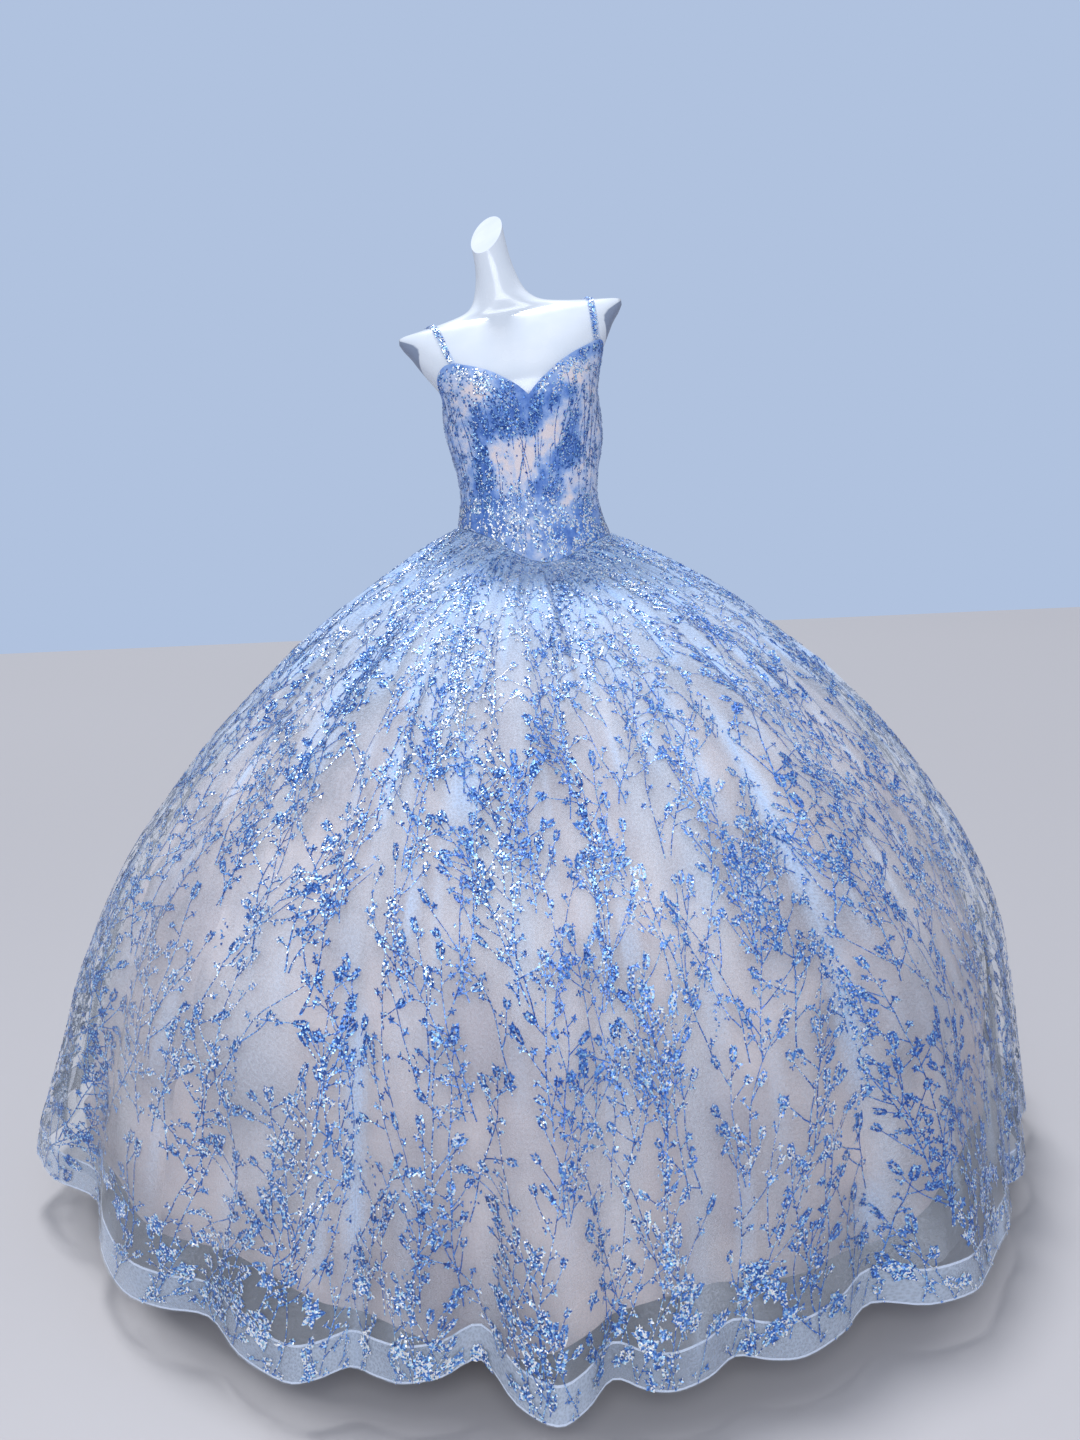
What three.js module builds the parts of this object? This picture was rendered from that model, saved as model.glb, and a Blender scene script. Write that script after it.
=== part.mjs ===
// A ball gown on a smooth dress form that stands on a round foot.
// Millimetres, +Z up. The front faces -Y and +X is the viewer's right.
// The origin is the centre of the foot's flat underside.
import * as THREE from 'three';

// Cloth walls and the gaps between pieces
const SEAM_GAP = 0.3;
const BODICE_WALL = 2.0;
const PLACKET_WALL = 1.2;
const STRAP_WALL = 1.4;
const OVERSKIRT_WALL = 1.6;
const BAND_WALL = 1.4;
const TULLE_WALL = 1.4;
const LINING_WALL = 1.8;

// Turning pieces are counted in waist columns: even steps round the waist, starting at the centre back
const WAIST_COLUMNS = 52;
const FRONT_COLUMN = 27;
const FOLD_COLUMNS = 2 * WAIST_COLUMNS;
const COLUMNS_PER_FLUTE = 4;

// The form's level sections, from the hips to the slanted cut of the neck.
// half is half the width, front and back are the depths from the centre, power squares the outline,
// tilt lifts the +X side and nod lifts the back of a section, both in degrees.
const FORM_SECTIONS = [
  { z: 786, cx: 4, cy: 8, half: 118, front: 70, back: 86, power: 2.2, tilt: 0, nod: 0 },
  { z: 800, cx: 4, cy: 8, half: 146, front: 92, back: 110, power: 2.2, tilt: 0, nod: 0 },
  { z: 850, cx: 5, cy: 8, half: 161, front: 101, back: 124, power: 2.2, tilt: 0, nod: 0 },
  { z: 910, cx: 5, cy: 7, half: 156, front: 99, back: 118, power: 2.2, tilt: 0, nod: 0 },
  { z: 970, cx: 4, cy: 5, half: 138, front: 92, back: 98, power: 2.2, tilt: 0, nod: 0 },
  { z: 1020, cx: 1, cy: 3, half: 119, front: 86, back: 82, power: 2.2, tilt: 0, nod: 0 },
  { z: 1070, cx: -2, cy: 2, half: 111, front: 83, back: 75, power: 2.2, tilt: 0, nod: 0 },
  { z: 1115, cx: -4, cy: 1, half: 112, front: 85, back: 76, power: 2.2, tilt: 0, nod: 0 },
  { z: 1160, cx: -6, cy: 0, half: 116, front: 92, back: 81, power: 2.2, tilt: 0, nod: 0 },
  { z: 1200, cx: -8, cy: 0, half: 119, front: 102, back: 86, power: 2.3, tilt: 1, nod: 0 },
  { z: 1235, cx: -10, cy: 0, half: 122, front: 107, back: 89, power: 2.4, tilt: 3, nod: 0 },
  { z: 1262, cx: -13, cy: 0, half: 132, front: 101, back: 90, power: 2.7, tilt: 5, nod: 0 },
  { z: 1292, cx: -16, cy: 1, half: 148, front: 86, back: 88, power: 3.2, tilt: 7, nod: 0 },
  { z: 1326, cx: -19, cy: 3, half: 167, front: 66, back: 79, power: 3.8, tilt: 7.6, nod: 0 },
  { z: 1360, cx: -21, cy: 6, half: 184, front: 43, back: 58, power: 4.2, tilt: 7.6, nod: 0 },
  { z: 1367, cx: -22, cy: 8, half: 150, front: 37, back: 50, power: 3.4, tilt: 7.6, nod: 0 },
  { z: 1373, cx: -24, cy: 9, half: 110, front: 36, back: 46, power: 2.8, tilt: 7.6, nod: 0 },
  { z: 1381, cx: -28, cy: 10, half: 72, front: 38, back: 44, power: 2.3, tilt: 7.6, nod: 0 },
  { z: 1391, cx: -32, cy: 11, half: 53, front: 40, back: 43, power: 2.1, tilt: 7.6, nod: 0 },
  { z: 1408, cx: -37, cy: 11, half: 41, front: 38, back: 39, power: 2, tilt: 8, nod: 4 },
  { z: 1437, cx: -42, cy: 10, half: 32, front: 33, back: 33, power: 2, tilt: 10, nod: 10 },
  { z: 1464, cx: -47, cy: 8, half: 28, front: 30, back: 30, power: 2, tilt: 15, nod: 24 },
  { z: 1497, cx: -53, cy: 6, half: 26, front: 29, back: 29, power: 2, tilt: 28, nod: 47 },
];
const FORM_COLUMNS = 40;

// The waist seam and the neckline: height by angle from the gown's own front, in degrees
const WAIST_SEAM = [
  { angle: 0, z: 966 },
  { angle: 14, z: 971 },
  { angle: 28, z: 983 },
  { angle: 48, z: 1003 },
  { angle: 75, z: 1016 },
  { angle: 110, z: 1019 },
  { angle: 180, z: 1020 },
];
const WAIST_SEAM_DROP = 9;
const NECKLINE = [
  { angle: 0, z: 1229 },
  { angle: 7, z: 1243 },
  { angle: 14, z: 1254 },
  { angle: 28, z: 1272 },
  { angle: 48, z: 1290 },
  { angle: 62, z: 1297 },
  { angle: 72, z: 1270 },
  { angle: 84, z: 1238 },
  { angle: 104, z: 1222 },
  { angle: 140, z: 1204 },
  { angle: 180, z: 1196 },
];

// How far the bodice stands off the form: a close fit, a looser seam at the waist, cups and sheer sides
const BODICE_FIT = 2.2;
const WAIST_SEAM_EASE = { amount: 4, spread: 26 };
const CUP = { angle: 30, z: 1236, out: 7, angleSpread: 19, zSpread: 30 };
const SHEER_SIDES = [
  { angle: 100, z: 1172, out: 15, angleSpread: 20, zSpread: 46 },
  { angle: -100, z: 1186, out: 9, angleSpread: 20, zSpread: 40 },
];
const BACK_EASE = { angle: 180, out: 2.4, angleSpread: 26 };

// Bodice panels between waist columns, and the heights of their rows as shares from seam to neckline
const BODICE_PANELS = [
  { name: 'bodice_front', from: 21, to: 33 },
  { name: 'bodice_side_front_right', from: 33, to: 38 },
  { name: 'bodice_side_right', from: 38, to: 45 },
  { name: 'bodice_back_right', from: 45, to: 53 },
  { name: 'bodice_back_left', from: 1, to: 9 },
  { name: 'bodice_side_left', from: 9, to: 16 },
  { name: 'bodice_side_front_left', from: 16, to: 21 },
];
const BODICE_SHARES = [0, 0.14, 0.3, 0.46, 0.62, 0.76, 0.88, 1];
const PLACKET = { name: 'back_placket', from: 0, to: 2 };

// Straps: the bodice columns they leave and join, and their sideways place on top of the shoulder.
// Each lies on the form, found along level lines in front and behind and a fan of lines over the top.
const STRAPS = [
  { name: 'strap_left', column: 18, top: -158, backColumn: 8 },
  { name: 'strap_right', column: 36, top: 106, backColumn: 46 },
];
const STRAP_WIDTH = 12;
const STRAP_LIFT = 1.5;
const STRAP_END_GAP = 0.8;
const STRAP_START_TURN = 2.8;
const STRAP_STEPS = { front: 5, fan: 28, back: 10, ease: 3 };
const STRAP_HEART_Y = 5;
const STRAP_HEART_DROP = 42;
const STRAP_RAY = 2000;

// The skirt's mean profile from the waist seam to the hem: height and radius of the overskirt,
// how much of the waist's own shape and of the hem's own height a row keeps, how far its columns
// have moved from even to their places at the hem, the size of the gathers and of the flutes,
// and how deep the tulle and the lining lie under the overskirt.
const SKIRT_ROWS = [
  { z: 1018, r: 130, waist: 1, hem: 0, drift: 0, gather: 0, flute: 0, tulle: 1.9, lining: 3.6 },
  { z: 994, r: 177, waist: 0.85, hem: 0, drift: 0.04, gather: 2.6, flute: 0, tulle: 8, lining: 13 },
  { z: 957, r: 238, waist: 0.6, hem: 0, drift: 0.1, gather: 4, flute: 0.02, tulle: 11, lining: 18 },
  { z: 904, r: 319, waist: 0.3, hem: 0, drift: 0.2, gather: 4.5, flute: 0.06, tulle: 13, lining: 23 },
  { z: 846, r: 395, waist: 0.12, hem: 0, drift: 0.3, gather: 4.5, flute: 0.12, tulle: 15, lining: 27 },
  { z: 780, r: 473, waist: 0, hem: 0, drift: 0.42, gather: 4, flute: 0.18, tulle: 16, lining: 31 },
  { z: 704, r: 550, waist: 0, hem: 0, drift: 0.54, gather: 3, flute: 0.24, tulle: 17, lining: 34 },
  { z: 614, r: 626, waist: 0, hem: 0, drift: 0.66, gather: 2, flute: 0.3, tulle: 18, lining: 37 },
  { z: 508, r: 700, waist: 0, hem: 0, drift: 0.78, gather: 1, flute: 0.38, tulle: 19, lining: 40 },
  { z: 384, r: 757, waist: 0, hem: 0, drift: 0.9, gather: 0, flute: 0.5, tulle: 20, lining: 43 },
  { z: 262, r: 788, waist: 0, hem: 0.1, drift: 0.97, gather: 0, flute: 0.65, tulle: 22, lining: 46 },
  { z: 165, r: 806, waist: 0, hem: 0.45, drift: 1, gather: 0, flute: 0.82, tulle: 25, lining: 50 },
  { z: 103, r: 817, waist: 0, hem: 1, drift: 1, gather: 0, flute: 0.94, tulle: 27, lining: 54 },
  { z: 58, r: 824, waist: 0, hem: 1, drift: 1, gather: 0, flute: 1, tulle: 29, lining: 56 },
];
const HEM_MEAN = 58;

// The skirt's centre line leans: sideways place of its centre by height
const SKIRT_SWAY = [
  { z: 58, cx: -30 },
  { z: 150, cx: -26 },
  { z: 262, cx: -17 },
  { z: 384, cx: -9 },
  { z: 508, cx: -4 },
  { z: 614, cx: 0 },
  { z: 780, cx: 2 },
  { z: 1018, cx: 0 },
];

// The hem's flutes, one row each, from the centre back round by the left to the front and the right.
// peak is the angle of its crest, reach and dip are how far crest and following trough stand out and in,
// low and high are the hem's heights there. Crests are round and troughs narrow, because the columns
// between them take more of the crest.
const CREST_SHARE = 0.66;
const FLUTES = [
  { peak: -172, reach: 22, dip: 20, low: 44, high: 66 },
  { peak: -158, reach: 30, dip: 22, low: 40, high: 70 },
  { peak: -145, reach: 20, dip: 26, low: 50, high: 68 },
  { peak: -131, reach: 28, dip: 18, low: 46, high: 64 },
  { peak: -118, reach: 22, dip: 22, low: 52, high: 74 },
  { peak: -104, reach: 26, dip: 20, low: 58, high: 80 },
  { peak: -91, reach: 20, dip: 14, low: 66, high: 84 },
  { peak: -80, reach: 22, dip: 10, low: 78, high: 88 },
  { peak: -69, reach: 24, dip: 38, low: 88, high: 86 },
  { peak: -42, reach: 0, dip: 26, low: 60, high: 66 },
  { peak: -21.5, reach: 11, dip: 22, low: 50, high: 60 },
  { peak: -11.5, reach: -12, dip: 40, low: 56, high: 70 },
  { peak: 1, reach: 34, dip: 14, low: 46, high: 58 },
  { peak: 10.5, reach: 8, dip: 16, low: 50, high: 58 },
  { peak: 22, reach: 9, dip: 16, low: 50, high: 58 },
  { peak: 39, reach: 44, dip: -30, low: 50, high: 48 },
  { peak: 50, reach: 18, dip: 8, low: 46, high: 50 },
  { peak: 62, reach: 8, dip: 18, low: 42, high: 54 },
  { peak: 76, reach: 16, dip: 18, low: 36, high: 50 },
  { peak: 90, reach: 20, dip: 22, low: 32, high: 54 },
  { peak: 103, reach: 24, dip: 18, low: 38, high: 60 },
  { peak: 117, reach: 26, dip: 24, low: 40, high: 66 },
  { peak: 130, reach: 20, dip: 20, low: 44, high: 62 },
  { peak: 144, reach: 28, dip: 24, low: 42, high: 70 },
  { peak: 157, reach: 24, dip: 20, low: 46, high: 64 },
  { peak: 170, reach: 20, dip: 18, low: 50, high: 62 },
];

// Skirt pieces between waist columns
const OVERSKIRT_GORES = [
  { name: 'overskirt_front', from: 22, to: 30 },
  { name: 'overskirt_side_front_right', from: 30, to: 38 },
  { name: 'overskirt_side_back_right', from: 38, to: 46 },
  { name: 'overskirt_back_right', from: 46, to: 53 },
  { name: 'overskirt_back_left', from: 1, to: 6 },
  { name: 'overskirt_side_back_left', from: 6, to: 14 },
  { name: 'overskirt_side_front_left', from: 14, to: 22 },
];
const HEM_BANDS = [
  { name: 'hem_band_front', from: 18, to: 32 },
  { name: 'hem_band_right', from: 32, to: 44 },
  { name: 'hem_band_back', from: 44, to: 58 },
  { name: 'hem_band_left', from: 6, to: 18 },
];
const TULLE_PANELS = [
  { name: 'tulle_front', from: 18, to: 32 },
  { name: 'tulle_right', from: 32, to: 46 },
  { name: 'tulle_back', from: 46, to: 58 },
  { name: 'tulle_left', from: 6, to: 18 },
];
const LINING_GORES = [
  { name: 'lining_front', from: 19, to: 35 },
  { name: 'lining_side_right', from: 35, to: 44 },
  { name: 'lining_back_right', from: 44, to: 53 },
  { name: 'lining_back_left', from: 1, to: 10 },
  { name: 'lining_side_left', from: 10, to: 19 },
];

// The inner layers use fewer rows; each takes a share of the flutes and ends above the overskirt's hem
const TULLE = { rows: [0, 1, 2, 3, 4, 6, 8, 10, 12, 13], flute: 0.55, hemLift: 22, wall: TULLE_WALL };
const LINING = { rows: [0, 1, 2, 3, 4, 6, 8, 10, 12], flute: 0.4, wall: LINING_WALL };
const LINING_HEM = { mean: 124, wave: 17, waves: 9, frontDrop: 46, frontAngle: -3, frontSpread: 7 };

// Gathers differ a little from one to the next
const GATHER_UNEVEN = 0.3;
const GATHER_UNEVEN_TURN = 5.1;

// Foot and pole
const FOOT = { radius: 190, edge: 6, height: 10, collarRadius: 30, collarHeight: 34, sides: 48 };
const POLE = { radius: 16, sides: 16 };
const FORM_BASE_RISE = 0.3;

const FINISHES = {
  glitterTulle: { color: 0x8fb0e0, roughness: 0.45, metalness: 0.1 },
  plainTulle: { color: 0xdfe6f5, roughness: 0.7, metalness: 0 },
  satin: { color: 0xe8d6d2, roughness: 0.4, metalness: 0 },
  hemBand: { color: 0xb8c6e0, roughness: 0.6, metalness: 0 },
  bodice: { color: 0x6f92cc, roughness: 0.45, metalness: 0.1 },
  gloss: { color: 0xf1f4f8, roughness: 0.15, metalness: 0 },
  metal: { color: 0xdadde2, roughness: 0.3, metalness: 0.6 },
};

const gown = new THREE.Group();

function radians(degrees) {
  return (degrees * Math.PI) / 180;
}

function bell(distance, spread) {
  return Math.exp(-0.5 * (distance / spread) ** 2);
}

// The smallest turn between two angles, in degrees
function turn(a, b) {
  return ((((a - b + 180) % 360) + 360) % 360) - 180;
}

// A smooth curve through one column of a table, by another column that rises or falls steadily
function along(table, key, field, value) {
  const rising = table[table.length - 1][key] > table[0][key];
  const ordered = rising ? table : [...table].reverse();
  const last = ordered.length - 1;
  if (value <= ordered[0][key]) return ordered[0][field];
  if (value >= ordered[last][key]) return ordered[last][field];
  let i = 0;
  while (ordered[i + 1][key] < value) i += 1;
  const slope = (n) => {
    const a = ordered[Math.max(n - 1, 0)];
    const b = ordered[Math.min(n + 1, last)];
    return (b[field] - a[field]) / (b[key] - a[key]);
  };
  const span = ordered[i + 1][key] - ordered[i][key];
  const t = (value - ordered[i][key]) / span;
  const h00 = 2 * t ** 3 - 3 * t ** 2 + 1;
  const h10 = t ** 3 - 2 * t ** 2 + t;
  const h01 = -2 * t ** 3 + 3 * t ** 2;
  const h11 = t ** 3 - t ** 2;
  return h00 * ordered[i][field] + h10 * span * slope(i)
    + h01 * ordered[i + 1][field] + h11 * span * slope(i + 1);
}

function addMesh(name, geometry, finish) {
  const mesh = new THREE.Mesh(geometry, new THREE.MeshStandardMaterial(FINISHES[finish]));
  mesh.name = name;
  gown.add(mesh);
}

// One closed wall between an outer and an inner grid of points.
// Rows run downwards and columns run anticlockwise seen from above.
function wallGeometry(outer, inner) {
  const rows = outer.length;
  const columns = outer[0].length;
  const points = [...outer.flat(), ...inner.flat()];
  const faces = [];
  const at = (layer, i, j) => layer * rows * columns + i * columns + j;
  const quad = (a, b, c, d) => faces.push(a, b, c, a, c, d);
  for (let i = 0; i < rows - 1; i += 1) {
    for (let j = 0; j < columns - 1; j += 1) {
      quad(at(0, i, j), at(0, i + 1, j), at(0, i + 1, j + 1), at(0, i, j + 1));
      quad(at(1, i, j), at(1, i, j + 1), at(1, i + 1, j + 1), at(1, i + 1, j));
    }
    quad(at(0, i, 0), at(1, i, 0), at(1, i + 1, 0), at(0, i + 1, 0));
    const end = columns - 1;
    quad(at(0, i, end), at(0, i + 1, end), at(1, i + 1, end), at(1, i, end));
  }
  for (let j = 0; j < columns - 1; j += 1) {
    quad(at(0, 0, j), at(0, 0, j + 1), at(1, 0, j + 1), at(1, 0, j));
    const foot = rows - 1;
    quad(at(0, foot, j), at(1, foot, j), at(1, foot, j + 1), at(0, foot, j + 1));
  }
  return meshGeometry(points, faces);
}

function meshGeometry(points, faces) {
  const geometry = new THREE.BufferGeometry();
  geometry.setAttribute('position', new THREE.Float32BufferAttribute(points.flat(), 3));
  geometry.setIndex(faces);
  return geometry;
}

// Both ends of a panel step back by half a seam gap, along the seam's own crossing direction
function openSeams(grid) {
  const step = (from, towards) => {
    const length = Math.hypot(...from.map((v, n) => towards[n] - v));
    return from.map((v, n) => v + ((towards[n] - v) * SEAM_GAP) / (2 * length));
  };
  return grid.map((row) => {
    const end = row.length - 1;
    const opened = [...row];
    opened[0] = step(row[0], row[1]);
    opened[end] = step(row[end], row[end - 1]);
    return opened;
  });
}

// The dress form

function formSection(z) {
  const section = {};
  for (const field of ['cx', 'cy', 'half', 'front', 'back', 'power', 'tilt', 'nod']) {
    section[field] = along(FORM_SECTIONS, 'z', field, z);
  }
  return section;
}

// A point on the form at a level and an angle from the front, lifted off it by some millimetres
function formPoint(z, angle, lift) {
  const section = formSection(z);
  const sideways = Math.sin(radians(angle));
  const forwards = Math.cos(radians(angle));
  const depth = forwards > 0 ? section.front : section.back;
  const sum = Math.abs(sideways / section.half) ** section.power
    + Math.abs(forwards / depth) ** section.power;
  const radius = sum ** (-1 / section.power) + lift;
  const dx = radius * sideways;
  const dy = -radius * forwards;
  const rise = dx * Math.tan(radians(section.tilt)) + dy * Math.tan(radians(section.nod));
  return [section.cx + dx, section.cy + dy, z + rise];
}

// Angles that put a section's points closer together where its outline turns
function outlineAngle(section, step) {
  const t = (2 * Math.PI * step) / FORM_COLUMNS - Math.PI;
  const share = (v) => Math.sign(v) * Math.abs(v) ** (2 / section.power);
  const depth = Math.cos(t) > 0 ? section.front : section.back;
  const angle = Math.atan2(section.half * share(Math.sin(t)), depth * share(Math.cos(t)));
  return (angle * 180) / Math.PI;
}

function buildForm() {
  const rings = FORM_SECTIONS.map((section) => {
    const ring = [];
    for (let step = 0; step < FORM_COLUMNS; step += 1) {
      ring.push(formPoint(section.z, outlineAngle(section, step), 0));
    }
    return ring;
  });
  const points = rings.flat();
  const faces = [];
  for (let i = 0; i < rings.length - 1; i += 1) {
    for (let j = 0; j < FORM_COLUMNS; j += 1) {
      const next = (j + 1) % FORM_COLUMNS;
      const a = i * FORM_COLUMNS + j;
      const b = i * FORM_COLUMNS + next;
      faces.push(a, b, b + FORM_COLUMNS, a, b + FORM_COLUMNS, a + FORM_COLUMNS);
    }
  }
  const top = (rings.length - 1) * FORM_COLUMNS;
  for (let j = 1; j < FORM_COLUMNS - 1; j += 1) {
    faces.push(0, j + 1, j);
    faces.push(top, top + j, top + j + 1);
  }
  addMesh('form_torso', meshGeometry(points, faces), 'gloss');
}

function buildStand() {
  const profile = [
    new THREE.Vector2(0, 0),
    new THREE.Vector2(FOOT.radius, 0),
    new THREE.Vector2(FOOT.radius, FOOT.edge),
    new THREE.Vector2(FOOT.radius - FOOT.height, FOOT.height),
    new THREE.Vector2(FOOT.collarRadius, FOOT.height),
    new THREE.Vector2(FOOT.collarRadius, FOOT.collarHeight),
    new THREE.Vector2(0, FOOT.collarHeight),
  ];
  const foot = new THREE.LatheGeometry(profile, FOOT.sides);
  foot.rotateX(Math.PI / 2);
  addMesh('form_base', foot, 'metal');
  const bottom = FOOT.collarHeight + FORM_BASE_RISE;
  const length = FORM_SECTIONS[0].z - FORM_BASE_RISE - bottom;
  const pole = new THREE.CylinderGeometry(POLE.radius, POLE.radius, length, POLE.sides);
  pole.rotateX(Math.PI / 2);
  pole.translate(0, 0, bottom + length / 2);
  addMesh('form_pole', pole, 'metal');
}

// The bodice

function waistAngle(column) {
  return (360 * column) / WAIST_COLUMNS - 180;
}

const FRONT_ANGLE = waistAngle(FRONT_COLUMN);

function fromFront(angle) {
  return turn(angle, FRONT_ANGLE);
}

function waistSeamHeight(angle) {
  const own = fromFront(angle);
  return along(WAIST_SEAM, 'angle', 'z', Math.abs(own)) - WAIST_SEAM_DROP * Math.sin(radians(own));
}

function necklineHeight(angle) {
  return along(NECKLINE, 'angle', 'z', Math.abs(fromFront(angle)));
}

function bodiceLift(angle, z) {
  const own = fromFront(angle);
  const aboveSeam = z - waistSeamHeight(angle);
  let lift = BODICE_FIT + WAIST_SEAM_EASE.amount * bell(aboveSeam, WAIST_SEAM_EASE.spread);
  const cupAway = Math.abs(own) - CUP.angle;
  lift += CUP.out * bell(cupAway, CUP.angleSpread) * bell(z - CUP.z, CUP.zSpread);
  for (const side of SHEER_SIDES) {
    lift += side.out * bell(turn(own, side.angle), side.angleSpread) * bell(z - side.z, side.zSpread);
  }
  return lift + BACK_EASE.out * bell(turn(own, BACK_EASE.angle), BACK_EASE.angleSpread);
}

// Rows of points over some waist columns, from the neckline down to the waist seam
function bodiceGrid(from, to, depth) {
  const grid = [];
  for (const share of [...BODICE_SHARES].reverse()) {
    const row = [];
    for (let column = from; column <= to; column += 1) {
      const angle = waistAngle(column);
      const seam = waistSeamHeight(angle);
      const z = seam + share * (necklineHeight(angle) - seam);
      row.push(formPoint(z, angle, bodiceLift(angle, z) + BODICE_WALL - depth));
    }
    grid.push(row);
  }
  return grid;
}

function buildBodice() {
  for (const panel of BODICE_PANELS) {
    const outer = openSeams(bodiceGrid(panel.from, panel.to, 0));
    const inner = openSeams(bodiceGrid(panel.from, panel.to, BODICE_WALL));
    addMesh(panel.name, wallGeometry(outer, inner), 'bodice');
  }
  const depth = BODICE_WALL + SEAM_GAP;
  const outer = bodiceGrid(PLACKET.from, PLACKET.to, depth);
  const inner = bodiceGrid(PLACKET.from, PLACKET.to, depth + PLACKET_WALL);
  addMesh(PLACKET.name, wallGeometry(outer, inner), 'bodice');
}

// The straps

// Where a strap meets the bodice: its place and how far it lies off the form there
function strapEnd(angle) {
  const z = necklineHeight(angle);
  const [x, y, height] = formPoint(z, angle, 0);
  const lift = bodiceLift(angle, z) + (BODICE_WALL - STRAP_WALL) / 2;
  return { x, y, z: height + STRAP_END_GAP, lift };
}

// Stations along a strap: a point inside the form, a direction out of it and a lift off its surface.
// The strap rises up the front, fans over the shoulder and runs down the back.
function strapStations(strap, topZ) {
  const side = Math.sign(strap.top);
  const start = strapEnd(waistAngle(strap.column) - side * STRAP_START_TURN);
  const end = strapEnd(waistAngle(strap.backColumn));
  const heartZ = topZ - STRAP_HEART_DROP;
  const mix = (a, b, t) => a + (b - a) * t;
  const stations = [];
  const add = (x, z, tilt, lift) => {
    const out = new THREE.Vector3(0, -Math.cos(tilt), Math.sin(tilt));
    stations.push({ heart: new THREE.Vector3(x, STRAP_HEART_Y, z), out, lift });
  };
  const { front, fan, back, ease } = STRAP_STEPS;
  const halfWay = front + fan / 2;
  for (let step = 0; step < front; step += 1) {
    const lift = mix(start.lift, STRAP_LIFT, Math.min(step / ease, 1));
    add(mix(start.x, strap.top, step / halfWay), mix(start.z, heartZ, step / front), 0, lift);
  }
  for (let step = 0; step <= fan; step += 1) {
    const forwards = (front + step) / halfWay;
    const backwards = (back + fan - step) / (back + fan / 2);
    const x = step < fan / 2 ? mix(start.x, strap.top, forwards) : mix(end.x, strap.top, backwards);
    const lift = mix(start.lift, STRAP_LIFT, Math.min((front + step) / ease, 1));
    add(x, heartZ, (Math.PI * step) / fan, lift);
  }
  for (let step = 1; step <= back; step += 1) {
    const left = back - step;
    const lift = mix(end.lift, STRAP_LIFT, Math.min(left / ease, 1));
    add(mix(end.x, strap.top, left / (back + fan / 2)), mix(heartZ, end.z, step / back), Math.PI, lift);
  }
  return stations;
}

function strapGeometry(strap, form) {
  const caster = new THREE.Raycaster();
  const surface = (heart, out) => {
    const from = heart.clone().addScaledVector(out, STRAP_RAY);
    caster.set(from, out.clone().negate());
    return caster.intersectObject(form)[0].point;
  };
  const up = new THREE.Vector3(0, 0, 1);
  const top = surface(new THREE.Vector3(strap.top, STRAP_HEART_Y, 0), up);
  const points = [];
  const faces = [];
  const stations = strapStations(strap, top.z);
  for (const station of stations) {
    for (const [level, side] of [[0, -1], [0, 1], [STRAP_WALL, 1], [STRAP_WALL, -1]]) {
      const heart = station.heart.clone();
      heart.x += (side * STRAP_WIDTH) / 2;
      const p = surface(heart, station.out).addScaledVector(station.out, station.lift + level);
      points.push([p.x, p.y, p.z]);
    }
  }
  const ring = 4;
  for (let i = 0; i < stations.length - 1; i += 1) {
    for (let j = 0; j < ring; j += 1) {
      const a = i * ring + j;
      const b = i * ring + ((j + 1) % ring);
      faces.push(a, b + ring, b, a, a + ring, b + ring);
    }
  }
  const last = (stations.length - 1) * ring;
  faces.push(0, 1, 2, 0, 2, 3);
  faces.push(last, last + 2, last + 1, last, last + 3, last + 2);
  return meshGeometry(points, faces);
}

function buildStraps() {
  const form = gown.getObjectByName('form_torso');
  for (const strap of STRAPS) {
    addMesh(strap.name, strapGeometry(strap, form), 'glitterTulle');
  }
}

// The skirt

// The flute that a fold column belongs to, and how far along it the column lies
function fluteAt(column) {
  const wrapped = ((column % FOLD_COLUMNS) + FOLD_COLUMNS) % FOLD_COLUMNS;
  const index = Math.floor(wrapped / COLUMNS_PER_FLUTE);
  const count = FLUTES.length;
  return {
    step: wrapped % COLUMNS_PER_FLUTE,
    own: FLUTES[index],
    before: FLUTES[(index + count - 1) % count],
  };
}

// The hem's angle, outward reach and height at a fold column
function hemShape(column) {
  const { step, own, before } = fluteAt(column);
  if (step === 2) return { angle: own.peak, out: own.reach, z: own.low };
  if (step === 0) {
    const gap = turn(own.peak, before.peak);
    return { angle: before.peak + gap / 2, out: -before.dip, z: before.high };
  }
  const left = hemShape(column - 1);
  const right = hemShape(column + 1);
  const crest = step === 1 ? right : left;
  const trough = step === 1 ? left : right;
  return {
    angle: left.angle + turn(right.angle, left.angle) / 2,
    out: trough.out + CREST_SHARE * (crest.out - trough.out),
    z: trough.z + CREST_SHARE * (crest.z - trough.z),
  };
}

// The waist seam at a fold column: the bodice's lower outer edge, and midway between its corners
function waistPoint(column) {
  if (column % 2 !== 0) {
    const left = waistPoint(column - 1);
    const right = waistPoint(column + 1);
    return left.map((v, n) => (v + right[n]) / 2);
  }
  const angle = waistAngle(column / 2);
  const z = waistSeamHeight(angle);
  const [x, y, height] = formPoint(z, angle, bodiceLift(angle, z) + BODICE_WALL);
  return [x, y, height - SEAM_GAP];
}

// The mean profile's outward and upward direction at a row
function profileNormal(row) {
  const above = SKIRT_ROWS[Math.max(row - 1, 0)];
  const below = SKIRT_ROWS[Math.min(row + 1, SKIRT_ROWS.length - 1)];
  const length = Math.hypot(below.r - above.r, above.z - below.z);
  return { r: (above.z - below.z) / length, z: (below.r - above.r) / length };
}

function gatherAt(column) {
  const side = column % 2 === 0 ? -1 : 1;
  return side * (1 + GATHER_UNEVEN * Math.sin(GATHER_UNEVEN_TURN * column));
}

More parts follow.
